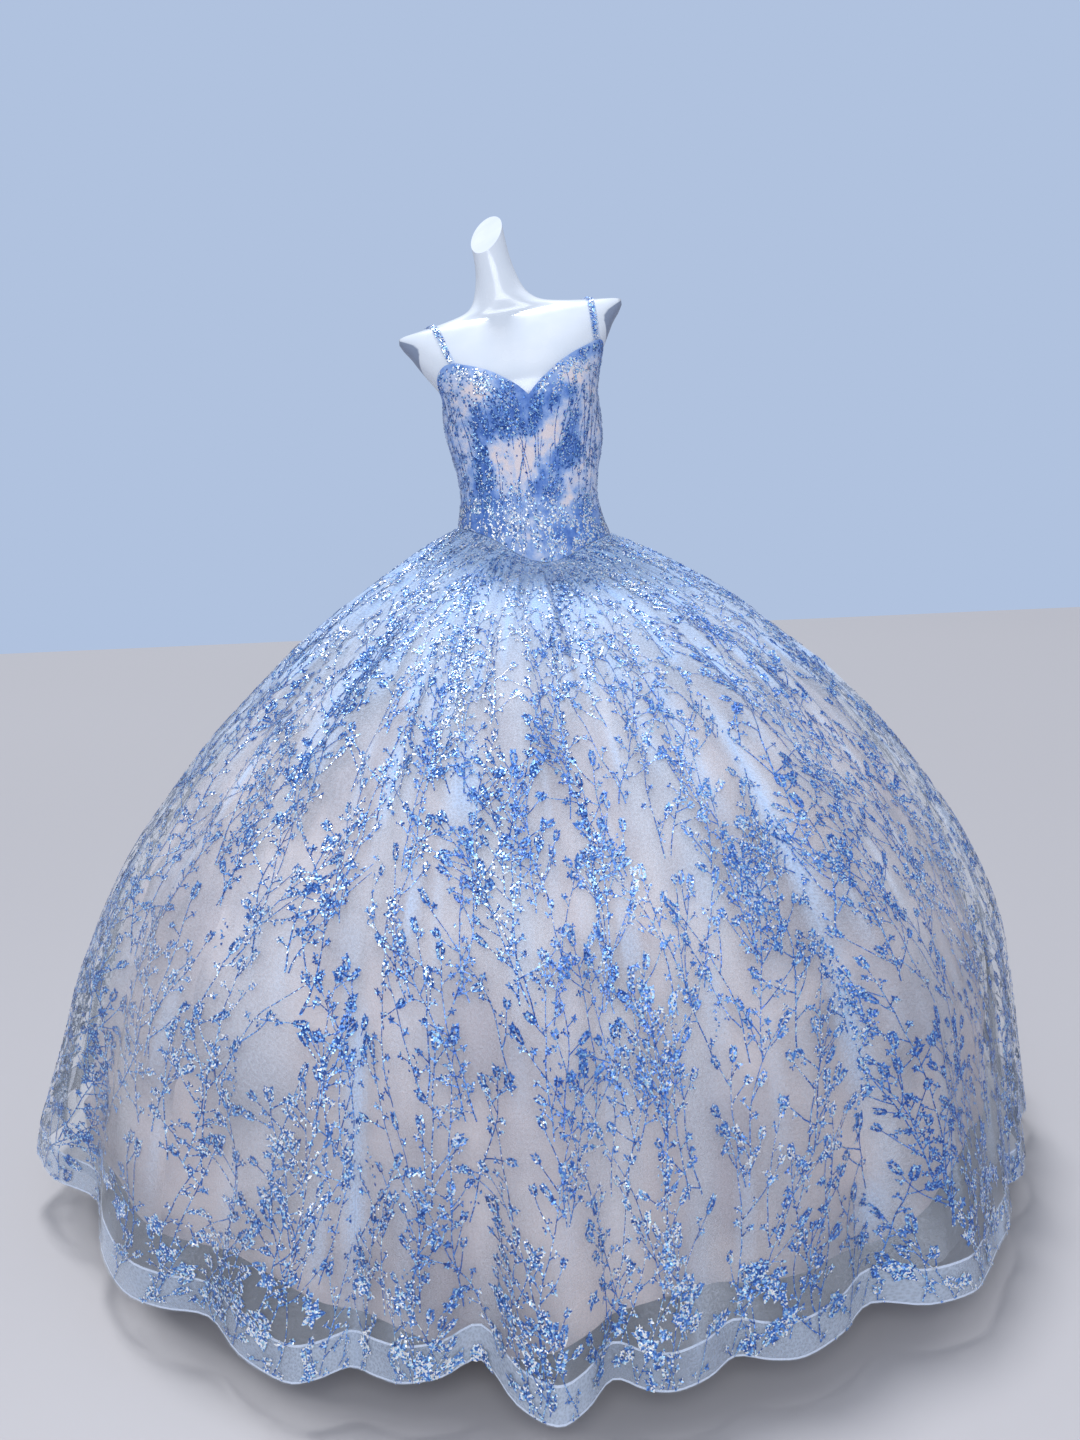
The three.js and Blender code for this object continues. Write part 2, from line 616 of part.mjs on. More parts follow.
// A point of a skirt layer on a row, at a fold column and a depth under the overskirt.
// gather and flute are the layer's shares of the overskirt's folds, and height replaces the row's own.
function skirtPoint(rowIndex, column, depth, { gather = 0, flute = 0, lift = 0, height = null }) {
  const row = SKIRT_ROWS[rowIndex];
  const top = SKIRT_ROWS[0];
  const waist = waistPoint(column);
  const section = formSection(waist[2]);
  const waistRadius = Math.hypot(waist[0] - section.cx, waist[1] - section.cy);
  const hem = hemShape(column);
  const even = (360 * column) / FOLD_COLUMNS - 180;
  const angle = radians(even + row.drift * turn(hem.angle, even));
  const folds = gather * row.gather * gatherAt(column) + flute * row.flute * hem.out;
  const normal = profileNormal(rowIndex);
  const radius = row.r + (waistRadius - top.r) * row.waist + folds - depth * normal.r;
  const sway = along(SKIRT_SWAY, 'z', 'cx', row.z);
  const cx = sway + (section.cx - sway) * row.waist;
  const cy = section.cy * row.waist;
  const own = row.z + (waist[2] - top.z) * row.waist + (hem.z - HEM_MEAN + lift) * row.hem;
  const z = (height === null ? own : height) - depth * normal.z;
  return [cx + radius * Math.sin(angle), cy - radius * Math.cos(angle), z];
}

function layerGrid(rows, piece, step, pointAt) {
  return rows.map((row) => {
    const line = [];
    for (let column = 2 * piece.from; column <= 2 * piece.to; column += step) {
      line.push(pointAt(row, column));
    }
    return line;
  });
}

function addLayer(piece, rows, step, wall, finish, pointAt) {
  const outer = openSeams(layerGrid(rows, piece, step, (row, column) => pointAt(row, column, 0)));
  const inner = openSeams(layerGrid(rows, piece, step, (row, column) => pointAt(row, column, wall)));
  addMesh(piece.name, wallGeometry(outer, inner), finish);
}

function buildOverskirt() {
  const rows = SKIRT_ROWS.map((_, index) => index);
  const full = { gather: 1, flute: 1 };
  const pointAt = (row, column, depth) => skirtPoint(row, column, depth, full);
  for (const gore of OVERSKIRT_GORES) {
    addLayer(gore, rows, 1, OVERSKIRT_WALL, 'glitterTulle', pointAt);
  }
  const under = OVERSKIRT_WALL + SEAM_GAP;
  const bandAt = (row, column, depth) => skirtPoint(row, column, depth + under, full);
  for (const band of HEM_BANDS) {
    addLayer(band, rows.slice(-2), 1, BAND_WALL, 'hemBand', bandAt);
  }
}

function buildTulle() {
  const shares = { flute: TULLE.flute, lift: TULLE.hemLift };
  const pointAt = (row, column, depth) => skirtPoint(row, column, SKIRT_ROWS[row].tulle + depth, shares);
  for (const panel of TULLE_PANELS) {
    addLayer(panel, TULLE.rows, 2, TULLE.wall, 'plainTulle', pointAt);
  }
}

function liningHemHeight(column) {
  const angle = hemShape(column).angle;
  const wave = LINING_HEM.wave * Math.sin(radians(LINING_HEM.waves * angle));
  const lobe = LINING_HEM.frontDrop * bell(turn(angle, LINING_HEM.frontAngle), LINING_HEM.frontSpread);
  return LINING_HEM.mean + wave - lobe;
}

function buildLining() {
  const last = LINING.rows[LINING.rows.length - 1];
  const pointAt = (row, column, depth) => {
    const height = row === last ? liningHemHeight(column) : null;
    return skirtPoint(row, column, SKIRT_ROWS[row].lining + depth, { flute: LINING.flute, height });
  };
  for (const gore of LINING_GORES) {
    addLayer(gore, LINING.rows, 2, LINING.wall, 'satin', pointAt);
  }
}

buildForm();
buildStand();
buildBodice();
buildStraps();
buildOverskirt();
buildTulle();
buildLining();

export default gown;
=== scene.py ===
# %% [markdown]
# # A glitter-tulle ball gown on a dress form
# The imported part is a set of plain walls. This lesson lays fine cloth on those walls: clear net over
# white net over blush satin, with a raised glitter print, and a glossy form that holds the gown up.
# The frame comes first, because every later piece stands for one of its nodes.

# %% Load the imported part
import math
import random

import bpy
import numpy as np
from mathutils import Matrix, Vector
from mathutils.bvhtree import BVHTree


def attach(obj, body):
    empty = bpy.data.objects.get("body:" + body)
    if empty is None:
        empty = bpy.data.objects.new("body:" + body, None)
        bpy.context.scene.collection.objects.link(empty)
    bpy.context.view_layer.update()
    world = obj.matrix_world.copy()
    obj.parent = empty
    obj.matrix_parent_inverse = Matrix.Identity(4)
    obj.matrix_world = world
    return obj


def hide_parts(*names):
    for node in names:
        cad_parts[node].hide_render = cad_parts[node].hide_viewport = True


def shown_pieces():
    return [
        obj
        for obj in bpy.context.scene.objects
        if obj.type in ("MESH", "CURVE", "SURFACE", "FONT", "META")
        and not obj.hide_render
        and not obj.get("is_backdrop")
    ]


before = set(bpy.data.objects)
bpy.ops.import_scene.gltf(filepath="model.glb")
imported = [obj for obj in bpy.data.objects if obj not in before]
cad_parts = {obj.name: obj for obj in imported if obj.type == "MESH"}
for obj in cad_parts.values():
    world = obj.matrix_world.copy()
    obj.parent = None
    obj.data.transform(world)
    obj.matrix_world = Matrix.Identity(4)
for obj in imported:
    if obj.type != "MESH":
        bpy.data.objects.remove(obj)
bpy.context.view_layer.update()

# %% [markdown]
# ## The camera
# A camera can be aimed with an empty or by typing angles. Here its three axes are worked out from a
# tilt down and a small roll, so the numbers say plainly how the picture was taken: close, from chest
# height, with a wide lens that makes the front of the hem look large.

# %% Camera
CAMERA_AT = (0.0, -1.95, 1.03)
CAMERA_TILT = math.radians(9.9)
CAMERA_ROLL = math.radians(2.5)
FOCAL_PIXELS = 1130
IMAGE_HEIGHT = 1440
SENSOR = 36.0

forward = Vector((0, math.cos(CAMERA_TILT), -math.sin(CAMERA_TILT)))
level = Vector((1, 0, 0))
upright = level.cross(forward)
right = level * math.cos(CAMERA_ROLL) - upright * math.sin(CAMERA_ROLL)
up = upright * math.cos(CAMERA_ROLL) + level * math.sin(CAMERA_ROLL)
camera = bpy.data.objects.new("camera", bpy.data.cameras.new("camera"))
camera.data.lens = SENSOR * FOCAL_PIXELS / IMAGE_HEIGHT
camera.data.sensor_width = SENSOR
axes = Matrix((right, up, -forward)).transposed()
camera.matrix_world = Matrix.Translation(CAMERA_AT) @ axes.to_4x4()
bpy.context.collection.objects.link(camera)
bpy.context.scene.camera = camera
print("lens:", round(camera.data.lens, 2), "mm")

# %% [markdown]
# ## Small tools
# A curve through a table of sizes could be a Bezier object. Reading the table with a cubic formula
# keeps the numbers in millimetres and lets one call serve a whole row of points at once.

# %% Curves, bells and turns
MM = 0.001


def along(keys, values, at):
    """A smooth curve through a table, read at one place or at many."""
    keys, values = np.array(keys, float), np.array(values, float)
    if keys[0] > keys[-1]:
        keys, values = keys[::-1], values[::-1]
    slopes = np.gradient(values)
    slopes[1:-1] = (values[2:] - values[:-2]) / (keys[2:] - keys[:-2])
    slopes[0] = (values[1] - values[0]) / (keys[1] - keys[0])
    slopes[-1] = (values[-1] - values[-2]) / (keys[-1] - keys[-2])
    at = np.clip(at, keys[0], keys[-1])
    i = np.clip(np.searchsorted(keys, at, side="right") - 1, 0, len(keys) - 2)
    span = keys[i + 1] - keys[i]
    t = (at - keys[i]) / span
    low = (2 * t**3 - 3 * t**2 + 1) * values[i] + (t**3 - 2 * t**2 + t) * span * slopes[i]
    high = (3 * t**2 - 2 * t**3) * values[i + 1] + (t**3 - t**2) * span * slopes[i + 1]
    return low + high


def bell(distance, spread):
    return np.exp(-0.5 * (distance / spread) ** 2)


def turn(a, b):
    """The smallest turn from angle b to angle a, in degrees."""
    return (a - b + 180) % 360 - 180


def soft_noise(seed, across, down, wide, tall):
    """Smooth bumps from -1 to 1: wide by tall seeded heights on a unit square that joins up sideways."""
    net = np.random.RandomState(seed).uniform(-1, 1, (tall + 2, wide))
    across, down = np.broadcast_arrays(across % 1 * wide, np.clip(down, 0, 1) * tall)
    i, j = down.astype(int), across.astype(int)
    y, x = down - i, across - j
    y, x = y * y * (3 - 2 * y), x * x * (3 - 2 * x)
    upper = net[i, j % wide] * (1 - x) + net[i, (j + 1) % wide] * x
    lower = net[i + 1, j % wide] * (1 - x) + net[i + 1, (j + 1) % wide] * x
    return upper * (1 - y) + lower * y


def read_net(net, rows, columns, loops):
    """Points on a smooth surface through a net of points, at every given row and column."""
    for axis, at, loop in ((0, rows, False), (1, columns, loops)):
        net = np.swapaxes(net, 0, axis)
        at = np.asarray(at, float)
        if not loop:
            net = np.concatenate([[2 * net[0] - net[1]], net, [2 * net[-1] - net[-2]]])
            at = np.clip(at, 0, len(net) - 3 - 1e-9) + 1
        i = np.floor(at).astype(int)
        t = (at - i)[:, None, None]
        p0, p1, p2, p3 = (net[(i + step) % len(net)] for step in (-1, 0, 1, 2))
        curve = 2 * p0 - 5 * p1 + 4 * p2 - p3 + t * (3 * (p1 - p2) + p3 - p0)
        net = p1 + 0.5 * t * (p2 - p0 + t * curve)
        net = np.swapaxes(net, 0, axis)
    return net


# %% [markdown]
# ## Thin cloth as a mesh
# A Solidify modifier can thicken one sheet. Building both faces here gives the same closed wall and
# keeps each point's place in the flat cloth, which the weave and the print need.

# %% Shells
SHARP = math.radians(50)


def normals_of(points):
    normals = np.cross(np.gradient(points, axis=0), np.gradient(points, axis=1))
    return normals / np.maximum(np.linalg.norm(normals, axis=-1, keepdims=True), 1e-9)


def make_piece(name, points, faces, materials, flat=None, marks=None):
    """A mesh object from points in millimetres, with its flat places and any marks for the materials."""
    mesh = bpy.data.meshes.new(name)
    mesh.from_pydata((points * MM).tolist(), [], faces)
    if flat is not None:
        corners = np.empty(len(mesh.loops), int)
        mesh.loops.foreach_get("vertex_index", corners)
        mesh.uv_layers.new(name="flat").data.foreach_set("uv", (flat * MM)[corners].ravel())
    for mark, values in (marks or {}).items():
        mesh.attributes.new(mark, "FLOAT", "POINT").data.foreach_set("value", np.ravel(values))
    for material in materials:
        mesh.materials.append(material)
    mesh.shade_smooth()
    mesh.set_sharp_from_angle(angle=SHARP)
    piece = bpy.data.objects.new(name, mesh)
    bpy.context.collection.objects.link(piece)
    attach(piece, "root")
    return piece


def make_shell(name, outer, wall, materials, flat, marks=None):
    """A closed thin wall under a grid of points. Rows run down and columns anticlockwise from above.
    Each face is given on the outer side, then turned over on the inner side, then the rim joins them."""
    rows, columns = outer.shape[:2]
    inner = outer - wall * normals_of(outer)
    at = np.arange(rows * columns).reshape(rows, columns)
    front = np.stack([at[:-1, :-1], at[1:, :-1], at[1:, 1:], at[:-1, 1:]], -1).reshape(-1, 4)
    back = front[:, ::-1] + rows * columns
    loop = np.concatenate([at[0, :-1], at[:-1, -1], at[-1, :0:-1], at[:0:-1, 0]])
    after = np.roll(loop, -1)
    rim = np.stack([loop, after, after + rows * columns, loop + rows * columns], -1)
    points = np.concatenate([outer.reshape(-1, 3), inner.reshape(-1, 3)])
    both = {mark: np.tile(np.ravel(values), 2) for mark, values in (marks or {}).items()}
    faces = np.concatenate([front, back, rim]).tolist()
    return make_piece(name, points, faces, materials, np.tile(flat.reshape(-1, 2), (2, 1)), both)


def grid_reach(points):
    """The widest row and the longest column, in metres, measured along the cloth."""
    widest = np.linalg.norm(np.diff(points, axis=1), axis=-1).sum(axis=1).max()
    longest = np.linalg.norm(np.diff(points, axis=0), axis=-1).sum(axis=0).max()
    return float(widest) * MM, float(longest) * MM


# %% [markdown]
# ## Materials
# Every material is a small tree of nodes. Colours are written as they are picked on a screen and
# turned to linear light once, and one helper adds any node with its settings and its links.

# %% Material helpers
def colour(code):
    """A linear colour from its sRGB hex value."""
    parts = [int(code[i:i + 2], 16) / 255 for i in (1, 3, 5)]
    return [p / 12.92 if p <= 0.04045 else ((p + 0.055) / 1.055) ** 2.4 for p in parts] + [1.0]


def add_node(tree, kind, inputs=None, out=0, **settings):
    """Adds a node with its settings, and each input set to a value or linked from a socket. Returns the
    socket of one of its outputs, if it has any."""
    node = tree.nodes.new("ShaderNode" + kind)
    for name, value in settings.items():
        setattr(node, name, value)
    for name, value in (inputs or {}).items():
        if isinstance(value, bpy.types.NodeSocket):
            tree.links.new(value, node.inputs[name])
        else:
            node.inputs[name].default_value = value
    return node.outputs[out] if node.outputs else None


def start_material(name):
    material = bpy.data.materials.new(name)
    material.use_nodes = True
    material.node_tree.nodes.clear()
    return material, material.node_tree


def finish_material(tree, settings):
    shader = add_node(tree, "BsdfPrincipled", settings)
    add_node(tree, "OutputMaterial", {"Surface": shader})


def ramp(tree, fac, stops):
    """A colour ramp from (place, hex colour) stops."""
    result = add_node(tree, "ValToRGB", {"Fac": fac}, "Color")
    elements = result.node.color_ramp.elements
    while len(elements) < len(stops):
        elements.new(0.5)
    for element, (place, code) in zip(elements, stops):
        element.position = place
        element.color = colour(code)
    return result


def spread(tree, value, low, high, to_low=0.0, to_high=1.0):
    """Maps a number from one range to another and holds it there."""
    inputs = {"Value": value, 1: low, 2: high, 3: to_low, 4: to_high}
    return add_node(tree, "MapRange", inputs, clamp=True)


def blend_colours(tree, fac, a, b):
    return add_node(tree, "Mix", {0: fac, 6: a, 7: b}, 2, data_type="RGBA")


def join(tree, operation, a, b, kind="Math", **settings):
    """A sum, product or the like of two numbers, or of two vectors if kind is VectorMath."""
    return add_node(tree, kind, {0: a, 1: b}, operation=operation, **settings)


def noise(tree, scale, detail, **inputs):
    return add_node(tree, "TexNoise", {"Scale": scale, "Detail": detail, **inputs}, "Fac")


def bump(tree, height, strength, deep):
    return add_node(tree, "Bump", {"Height": height, "Strength": strength, "Distance": deep})


def mark_of(tree, name):
    """The number that each point of the mesh holds under a name."""
    return add_node(tree, "Attribute", None, "Fac", attribute_name=name)


def flat_of(tree):
    """The place in the flat cloth, in metres."""
    return add_node(tree, "UVMap", uv_map="flat")


# %% [markdown]
# ### Glitter print
# Glitter is hexagonal polyester flakes of about 1.5 mm, coated with aluminium and set in a clear
# binder. The eye sees deep blue with white and aqua points, because each flake lies at its own angle.
# Single flakes would be millions of faces, so cells of a Voronoi pattern stand for them: each cell
# has its own colour and its own tilt. They are 2.2 mm here, a little coarse, so that they show.
# The white and aqua points are painted into the cells' colour as painted glints, on top of their real tilt;
# the print's mark of pale flakes and painted glints says where they are strewn thick.

# %% Glitter print on net
FLAKE = 2.2 * MM
FLAKE_TILT = 0.9

glitter, tree = start_material("polyester_glitter_print")
place = add_node(tree, "TexCoord", None, "Object")
flake = add_node(tree, "TexVoronoi", {"Vector": place, "Scale": 1 / FLAKE}, "Color")
shade = add_node(tree, "SeparateColor", {"Color": flake})
# The mark moves cells towards the ramp's pale end, whose aqua and white stops stand for pale flakes and
# painted glints.
paler = spread(tree, mark_of(tree, "silver_and_glint"), 0.0, 1.0, -0.16, 0.32)
flake_colour = ramp(tree, join(tree, "ADD", shade, paler), [
    (0.0, "#20499a"), (0.3, "#3566b8"), (0.55, "#558cda"),
    (0.7, "#86b8f0"), (0.81, "#bfecff"), (0.9, "#ffffff"),
])
lean = join(tree, "SUBTRACT", flake, (0.5, 0.5, 0.5), "VectorMath")
lean = add_node(tree, "VectorMath", {0: lean, "Scale": FLAKE_TILT}, operation="SCALE")
facing = add_node(tree, "NewGeometry", None, "Normal")
tilted = join(tree, "ADD", facing, lean, "VectorMath")
finish_material(tree, {
    "Base Color": flake_colour, "Metallic": 0.35, "Roughness": 0.28,
    "Normal": add_node(tree, "VectorMath", {0: tilted}, operation="NORMALIZE"),
    "Coat Weight": 0.3, "Coat Roughness": 0.1,
})


# %% [markdown]
# ### Net and satin
# Tulle is a knitted hexagon net of fine yarn, so most of it is air. Modelling the holes would cost
# millions of faces, so the shell lets light through by its Alpha and keeps a faint net in it. Where
# the cloth is gathered it doubles up and looks whiter and bluer: a mark on each point says how much.

# %% Tulle
NET_CELL = 4.0 * MM


def make_tulle(name, pale, deep, clear, gathered):
    """Net of two colours that hides two shares of what is behind it: when flat and when gathered."""
    material, tree = start_material(name)
    folds = mark_of(tree, "fold")
    cell = {"Vector": flat_of(tree), "Scale": 1 / NET_CELL}
    from_yarn = add_node(tree, "TexVoronoi", cell, "Distance", voronoi_dimensions="2D")
    yarn = spread(tree, from_yarn, 0.2, 0.6, 0.8, 1.25)
    cover = spread(tree, folds, 0.0, 1.0, clear, gathered)
    finish_material(tree, {
        "Base Color": blend_colours(tree, folds, colour(pale), colour(deep)), "Roughness": 0.85,
        "Alpha": join(tree, "MULTIPLY", cover, yarn, use_clamp=True),
        "Sheen Weight": 0.4, "Sheen Roughness": 0.4,
    })
    return material


blue_tulle = make_tulle("blue_polyester_tulle", "#e3eefe", "#bcd9fd", 0.07, 0.66)
white_tulle = make_tulle("white_polyester_tulle", "#f4f6fc", "#edf3fd", 0.06, 0.42)
doubled_tulle = make_tulle("doubled_blue_tulle", "#c6dbfa", "#6fa2f0", 0.03, 0.75)
band_tulle = make_tulle("doubled_hem_tulle", "#c6d3e8", "#dbe6f6", 0.2, 0.46)

# %% [markdown]
# ### Satin, bodice cloth and the form
# Duchess satin floats long polyester yarns over its face, so it has a soft, wide shine along the
# warp. The bodice is the same satin under glitter net. The form is a fibreglass shell with a
# polished white gel coat, and on its cut ends the colour turns a darker blue-grey and goes matt.

# %% Satin, thread, form and stand
# A wave texture's bands lie 2 pi / 20 of a unit apart at scale 1. This makes slubs 2 pi times as far
# apart as SLUB, 5.7 mm: real yarns are finer and would not show.
SLUB = 0.9 * MM
WAVE_UNIT = 20


def weave_bump(tree, flat, strength):
    """A fine bump of crossed yarns."""
    bands = {"Vector": flat, "Scale": 1 / (SLUB * WAVE_UNIT)}
    across, down = (add_node(tree, "TexWave", bands, "Fac", bands_direction=way) for way in "XY")
    return bump(tree, join(tree, "MULTIPLY", across, down), strength, 0.3 * MM)


satin, tree = start_material("blush_duchess_satin")
flat = flat_of(tree)
# The broad lighter and darker blotches in the satin's colour are painted light and shade of its puckers.
finish_material(tree, {
    "Base Color": ramp(tree, noise(tree, 5.0, 3.0, Vector=flat), [(0.38, "#c0aeb1"), (0.62, "#f8e4df")]),
    "Roughness": 0.42, "Normal": weave_bump(tree, flat, 0.25),
    "Sheen Weight": 0.15, "Specular IOR Level": 0.45,
})

bodice_cloth, tree = start_material("glitter_net_over_satin")
flat = flat_of(tree)
smear = spread(tree, noise(tree, 55.0, 4.0, Vector=flat, Roughness=0.65), 0.3, 0.7, -0.28, 0.28)
finish_material(tree, {
    "Base Color": ramp(tree, join(tree, "ADD", mark_of(tree, "bloom"), smear), [
        (0.0, "#eedfde"), (0.24, "#cbd3e9"), (0.48, "#92b0e1"), (0.78, "#6089d0"), (1.0, "#3c69b8"),
    ]),
    "Roughness": 0.5, "Normal": weave_bump(tree, flat, 0.3), "Sheen Weight": 0.2,
})

thread, tree = start_material("white_rolled_hem_thread")
finish_material(tree, {
    "Base Color": colour("#dfe8f8"), "Roughness": 0.7,
    "Normal": bump(tree, noise(tree, 700.0, 1.0), 0.4, 0.4 * MM), "Sheen Weight": 0.3,
})

# The cut mark is 1 at the middle of each shoulder's cut face and 0 at its rim
gel_coat, tree = start_material("polished_white_gel_coat")
cloud = noise(tree, 7.0, 2.0)
on_cut = spread(tree, mark_of(tree, "cut"), 0.0, 0.03)
white = ramp(tree, cloud, [(0.3, "#dfe6ef"), (0.7, "#e6ebf2")])
gloss = spread(tree, cloud, 0.3, 0.7, 0.2, 0.3)
finish_material(tree, {
    "Base Color": blend_colours(tree, on_cut, white, colour("#8792a8")),
    "Roughness": join(tree, "MAXIMUM", gloss, on_cut), "Coat Weight": 0.4, "Coat Roughness": 0.12,
})

powder_coat, tree = start_material("white_powder_coated_steel")
pebble = noise(tree, 900.0, 2.0)
finish_material(tree, {
    "Base Color": ramp(tree, pebble, [(0.3, "#d5d8dd"), (0.7, "#e0e3e8")]), "Roughness": 0.38,
    "Normal": bump(tree, pebble, 0.3, 0.2 * MM),
})
print("materials made:", len(bpy.data.materials))

# %% [markdown]
# ## The form
# The torso could be sculpted. A table of level outlines gives the same smooth body with sizes that
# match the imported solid: each outline is a squared oval, and the cap of each shoulder is cut off
# square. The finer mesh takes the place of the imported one, so no flat faces show in the gloss.

# %% Form sizes
FORM_FIELDS = ("z", "cx", "cy", "half", "front", "back", "power", "tilt", "nod")
FORM_SECTIONS = (
    (786, 4, 8, 118, 70, 86, 2.2, 0, 0), (800, 4, 8, 146, 92, 110, 2.2, 0, 0),
    (850, 5, 8, 161, 101, 124, 2.2, 0, 0), (910, 5, 7, 156, 99, 118, 2.2, 0, 0),
    (970, 4, 5, 138, 92, 98, 2.2, 0, 0), (1020, 1, 3, 119, 86, 82, 2.2, 0, 0),
    (1070, -2, 2, 111, 83, 75, 2.2, 0, 0), (1115, -4, 1, 112, 85, 76, 2.2, 0, 0),
    (1160, -6, 0, 116, 92, 81, 2.2, 0, 0), (1200, -8, 0, 119, 102, 86, 2.3, 1, 0),
    (1235, -10, 0, 122, 107, 89, 2.4, 3, 0), (1262, -13, 0, 132, 101, 90, 2.7, 5, 0),
    (1292, -16, 1, 148, 86, 88, 3.2, 7, 0), (1326, -19, 3, 167, 66, 79, 3.8, 7.6, 0),
    (1360, -21, 6, 184, 43, 58, 4.2, 7.6, 0), (1367, -22, 8, 150, 37, 50, 3.4, 7.6, 0),
    (1373, -24, 9, 110, 36, 46, 2.8, 7.6, 0), (1381, -28, 10, 72, 38, 44, 2.3, 7.6, 0),
    (1391, -32, 11, 53, 40, 43, 2.1, 7.6, 0), (1408, -37, 11, 41, 38, 39, 2, 8, 4),
    (1437, -42, 10, 32, 33, 33, 2, 10, 10), (1464, -47, 8, 28, 30, 30, 2, 15, 24),
    (1497, -53, 6, 26, 29, 29, 2, 28, 47),
)
FORM_TABLE = dict(zip(FORM_FIELDS, np.array(FORM_SECTIONS, float).T))


def form_section(z):
    return {field: along(FORM_TABLE["z"], FORM_TABLE[field], z) for field in FORM_FIELDS[1:]}


def form_point(z, angle, lift):
    """Points on the form at heights and angles from the front, lifted off it by some millimetres."""
    s = form_section(z)
    angle = np.radians(angle)
    side, ahead = np.sin(angle), np.cos(angle)
    depth = np.where(ahead > 0, s["front"], s["back"])
    total = np.abs(side / s["half"]) ** s["power"] + np.abs(ahead / depth) ** s["power"]
    radius = total ** (-1 / s["power"]) + lift
    dx, dy = radius * side, -radius * ahead
    rise = dx * np.tan(np.radians(s["tilt"])) + dy * np.tan(np.radians(s["nod"]))
    return np.stack(np.broadcast_arrays(s["cx"] + dx, s["cy"] + dy, z + rise), -1)


# %% Form mesh
FORM_COLUMNS = 112
FORM_STEP = 7
# Each shoulder's oval cut face: its centre, half its depth and height, and how near the end it starts
CUT_Y, CUT_Z, CUT_DEEP, CUT_TALL, CUT_REACH = 3, 1326, 50, 34, 0.72

levels = []
for low, high in zip(FORM_TABLE["z"][:-1], FORM_TABLE["z"][1:]):
    levels += list(np.linspace(low, high, max(3, int((high - low) / FORM_STEP)) + 1)[:-1])
levels = np.array(levels + [FORM_TABLE["z"][-1]])
outline = np.linspace(-np.pi, np.pi, FORM_COLUMNS + 1)[:-1]
section = {field: values[:, None] for field, values in form_section(levels).items()}
bend = 2 / section["power"]
deep = np.where(np.cos(outline) > 0, section["front"], section["back"])
sideways = section["half"] * np.sign(np.sin(outline)) * np.abs(np.sin(outline)) ** bend
forwards = deep * np.sign(np.cos(outline)) * np.abs(np.cos(outline)) ** bend
rings = form_point(levels[:, None], np.degrees(np.arctan2(sideways, forwards)), 0)
at = np.arange(rings.shape[0] * FORM_COLUMNS).reshape(-1, FORM_COLUMNS)
beside = np.roll(at, -1, axis=1)
sides = np.stack([at[:-1], beside[:-1], beside[1:], at[1:]], -1).reshape(-1, 4)
caps = [at[0][::-1].tolist(), at[-1].tolist()]
away = np.hypot((rings[..., 1] - CUT_Y) / CUT_DEEP, (levels[:, None] - CUT_Z) / CUT_TALL)
cut_marks = np.where(np.abs(rings[..., 0] - section["cx"]) > CUT_REACH * section["half"], 1 - away, -1)
faces = sides.tolist() + caps
torso = make_piece("torso_shell", rings.reshape(-1, 3), faces, [gel_coat], marks={"cut": cut_marks})
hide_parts("form_torso")
print("torso levels:", len(levels), "faces:", len(torso.data.polygons))

for name in ("form_base", "form_pole"):
    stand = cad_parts[name]
    stand.data.materials.clear()
    stand.data.materials.append(powder_coat)
    bevel = stand.modifiers.new("soft edge", "BEVEL")
    bevel.width = 1.2 * MM
    bevel.segments = 2
    bevel.limit_method = "ANGLE"

# %% [markdown]
# ## The bodice
# A princess-seamed bodice is seven panels boned to hold their own shape. It is built as a fine
# shell over the form, with cups, a looser waist seam and sides of clear net that stand off a little.

# %% Bodice sizes
WAIST_COLUMNS = 52
FRONT_ANGLE = 360 * 27 / WAIST_COLUMNS - 180
# The waist seam's and the neckline's heights, by the angle from the bodice's front
WAIST_SEAM = ((0, 966), (14, 971), (28, 983), (48, 1003), (75, 1016), (110, 1019), (180, 1020))
WAIST_SEAM_DROP = 9
NECKLINE = (
    (0, 1229), (7, 1243), (14, 1254), (28, 1272), (48, 1290), (62, 1297),
    (72, 1270), (84, 1238), (104, 1222), (140, 1204), (180, 1196),
)
BODICE_FIT = 2.2
BODICE_WALL = 2.0
SEAM_EASE, SEAM_EASE_SPREAD = 4, 26
CUP_ANGLE, CUP_Z, CUP_OUT, CUP_WIDE, CUP_TALL = 30, 1236, 7, 19, 30
# Where the sides stand off the form: angle, height, how far, and both spreads
SHEER_SIDES = ((100, 1172, 15, 20, 46), (-100, 1186, 9, 20, 40))
BACK_EASE, BACK_EASE_SPREAD = 2.4, 26
# Each panel's name and its first and last waist column
BODICE_PANELS = (
    ("bodice_front", 21, 33), ("bodice_side_front_right", 33, 38), ("bodice_side_right", 38, 45),
    ("bodice_back_right", 45, 53), ("bodice_back_left", 1, 9), ("bodice_side_left", 9, 16),
    ("bodice_side_front_left", 16, 21),
)
SEAM_GAP = 0.3


def waist_angle(column):
    return 360 * column / WAIST_COLUMNS - 180


def from_front(angle):
    return turn(angle, FRONT_ANGLE)


def waist_seam_height(angle):
    own = from_front(angle)
    return along(*zip(*WAIST_SEAM), np.abs(own)) - WAIST_SEAM_DROP * np.sin(np.radians(own))


def neckline_height(angle):
    return along(*zip(*NECKLINE), np.abs(from_front(angle)))


def bodice_lift(angle, z):
    own = from_front(angle)
    lift = BODICE_FIT + SEAM_EASE * bell(z - waist_seam_height(angle), SEAM_EASE_SPREAD)
    lift = lift + CUP_OUT * bell(np.abs(own) - CUP_ANGLE, CUP_WIDE) * bell(z - CUP_Z, CUP_TALL)
    for side, height, out, wide, tall in SHEER_SIDES:
        lift = lift + out * bell(turn(own, side), wide) * bell(z - height, tall)
    return lift + BACK_EASE * bell(turn(own, 180), BACK_EASE_SPREAD)


# %% Bodice panels
BODICE_ROWS = 44
PANEL_STEPS = 5
PANEL_WALL = 1.1
PLACKET_WALL = 0.8
COLUMN_WIDE = 15.5
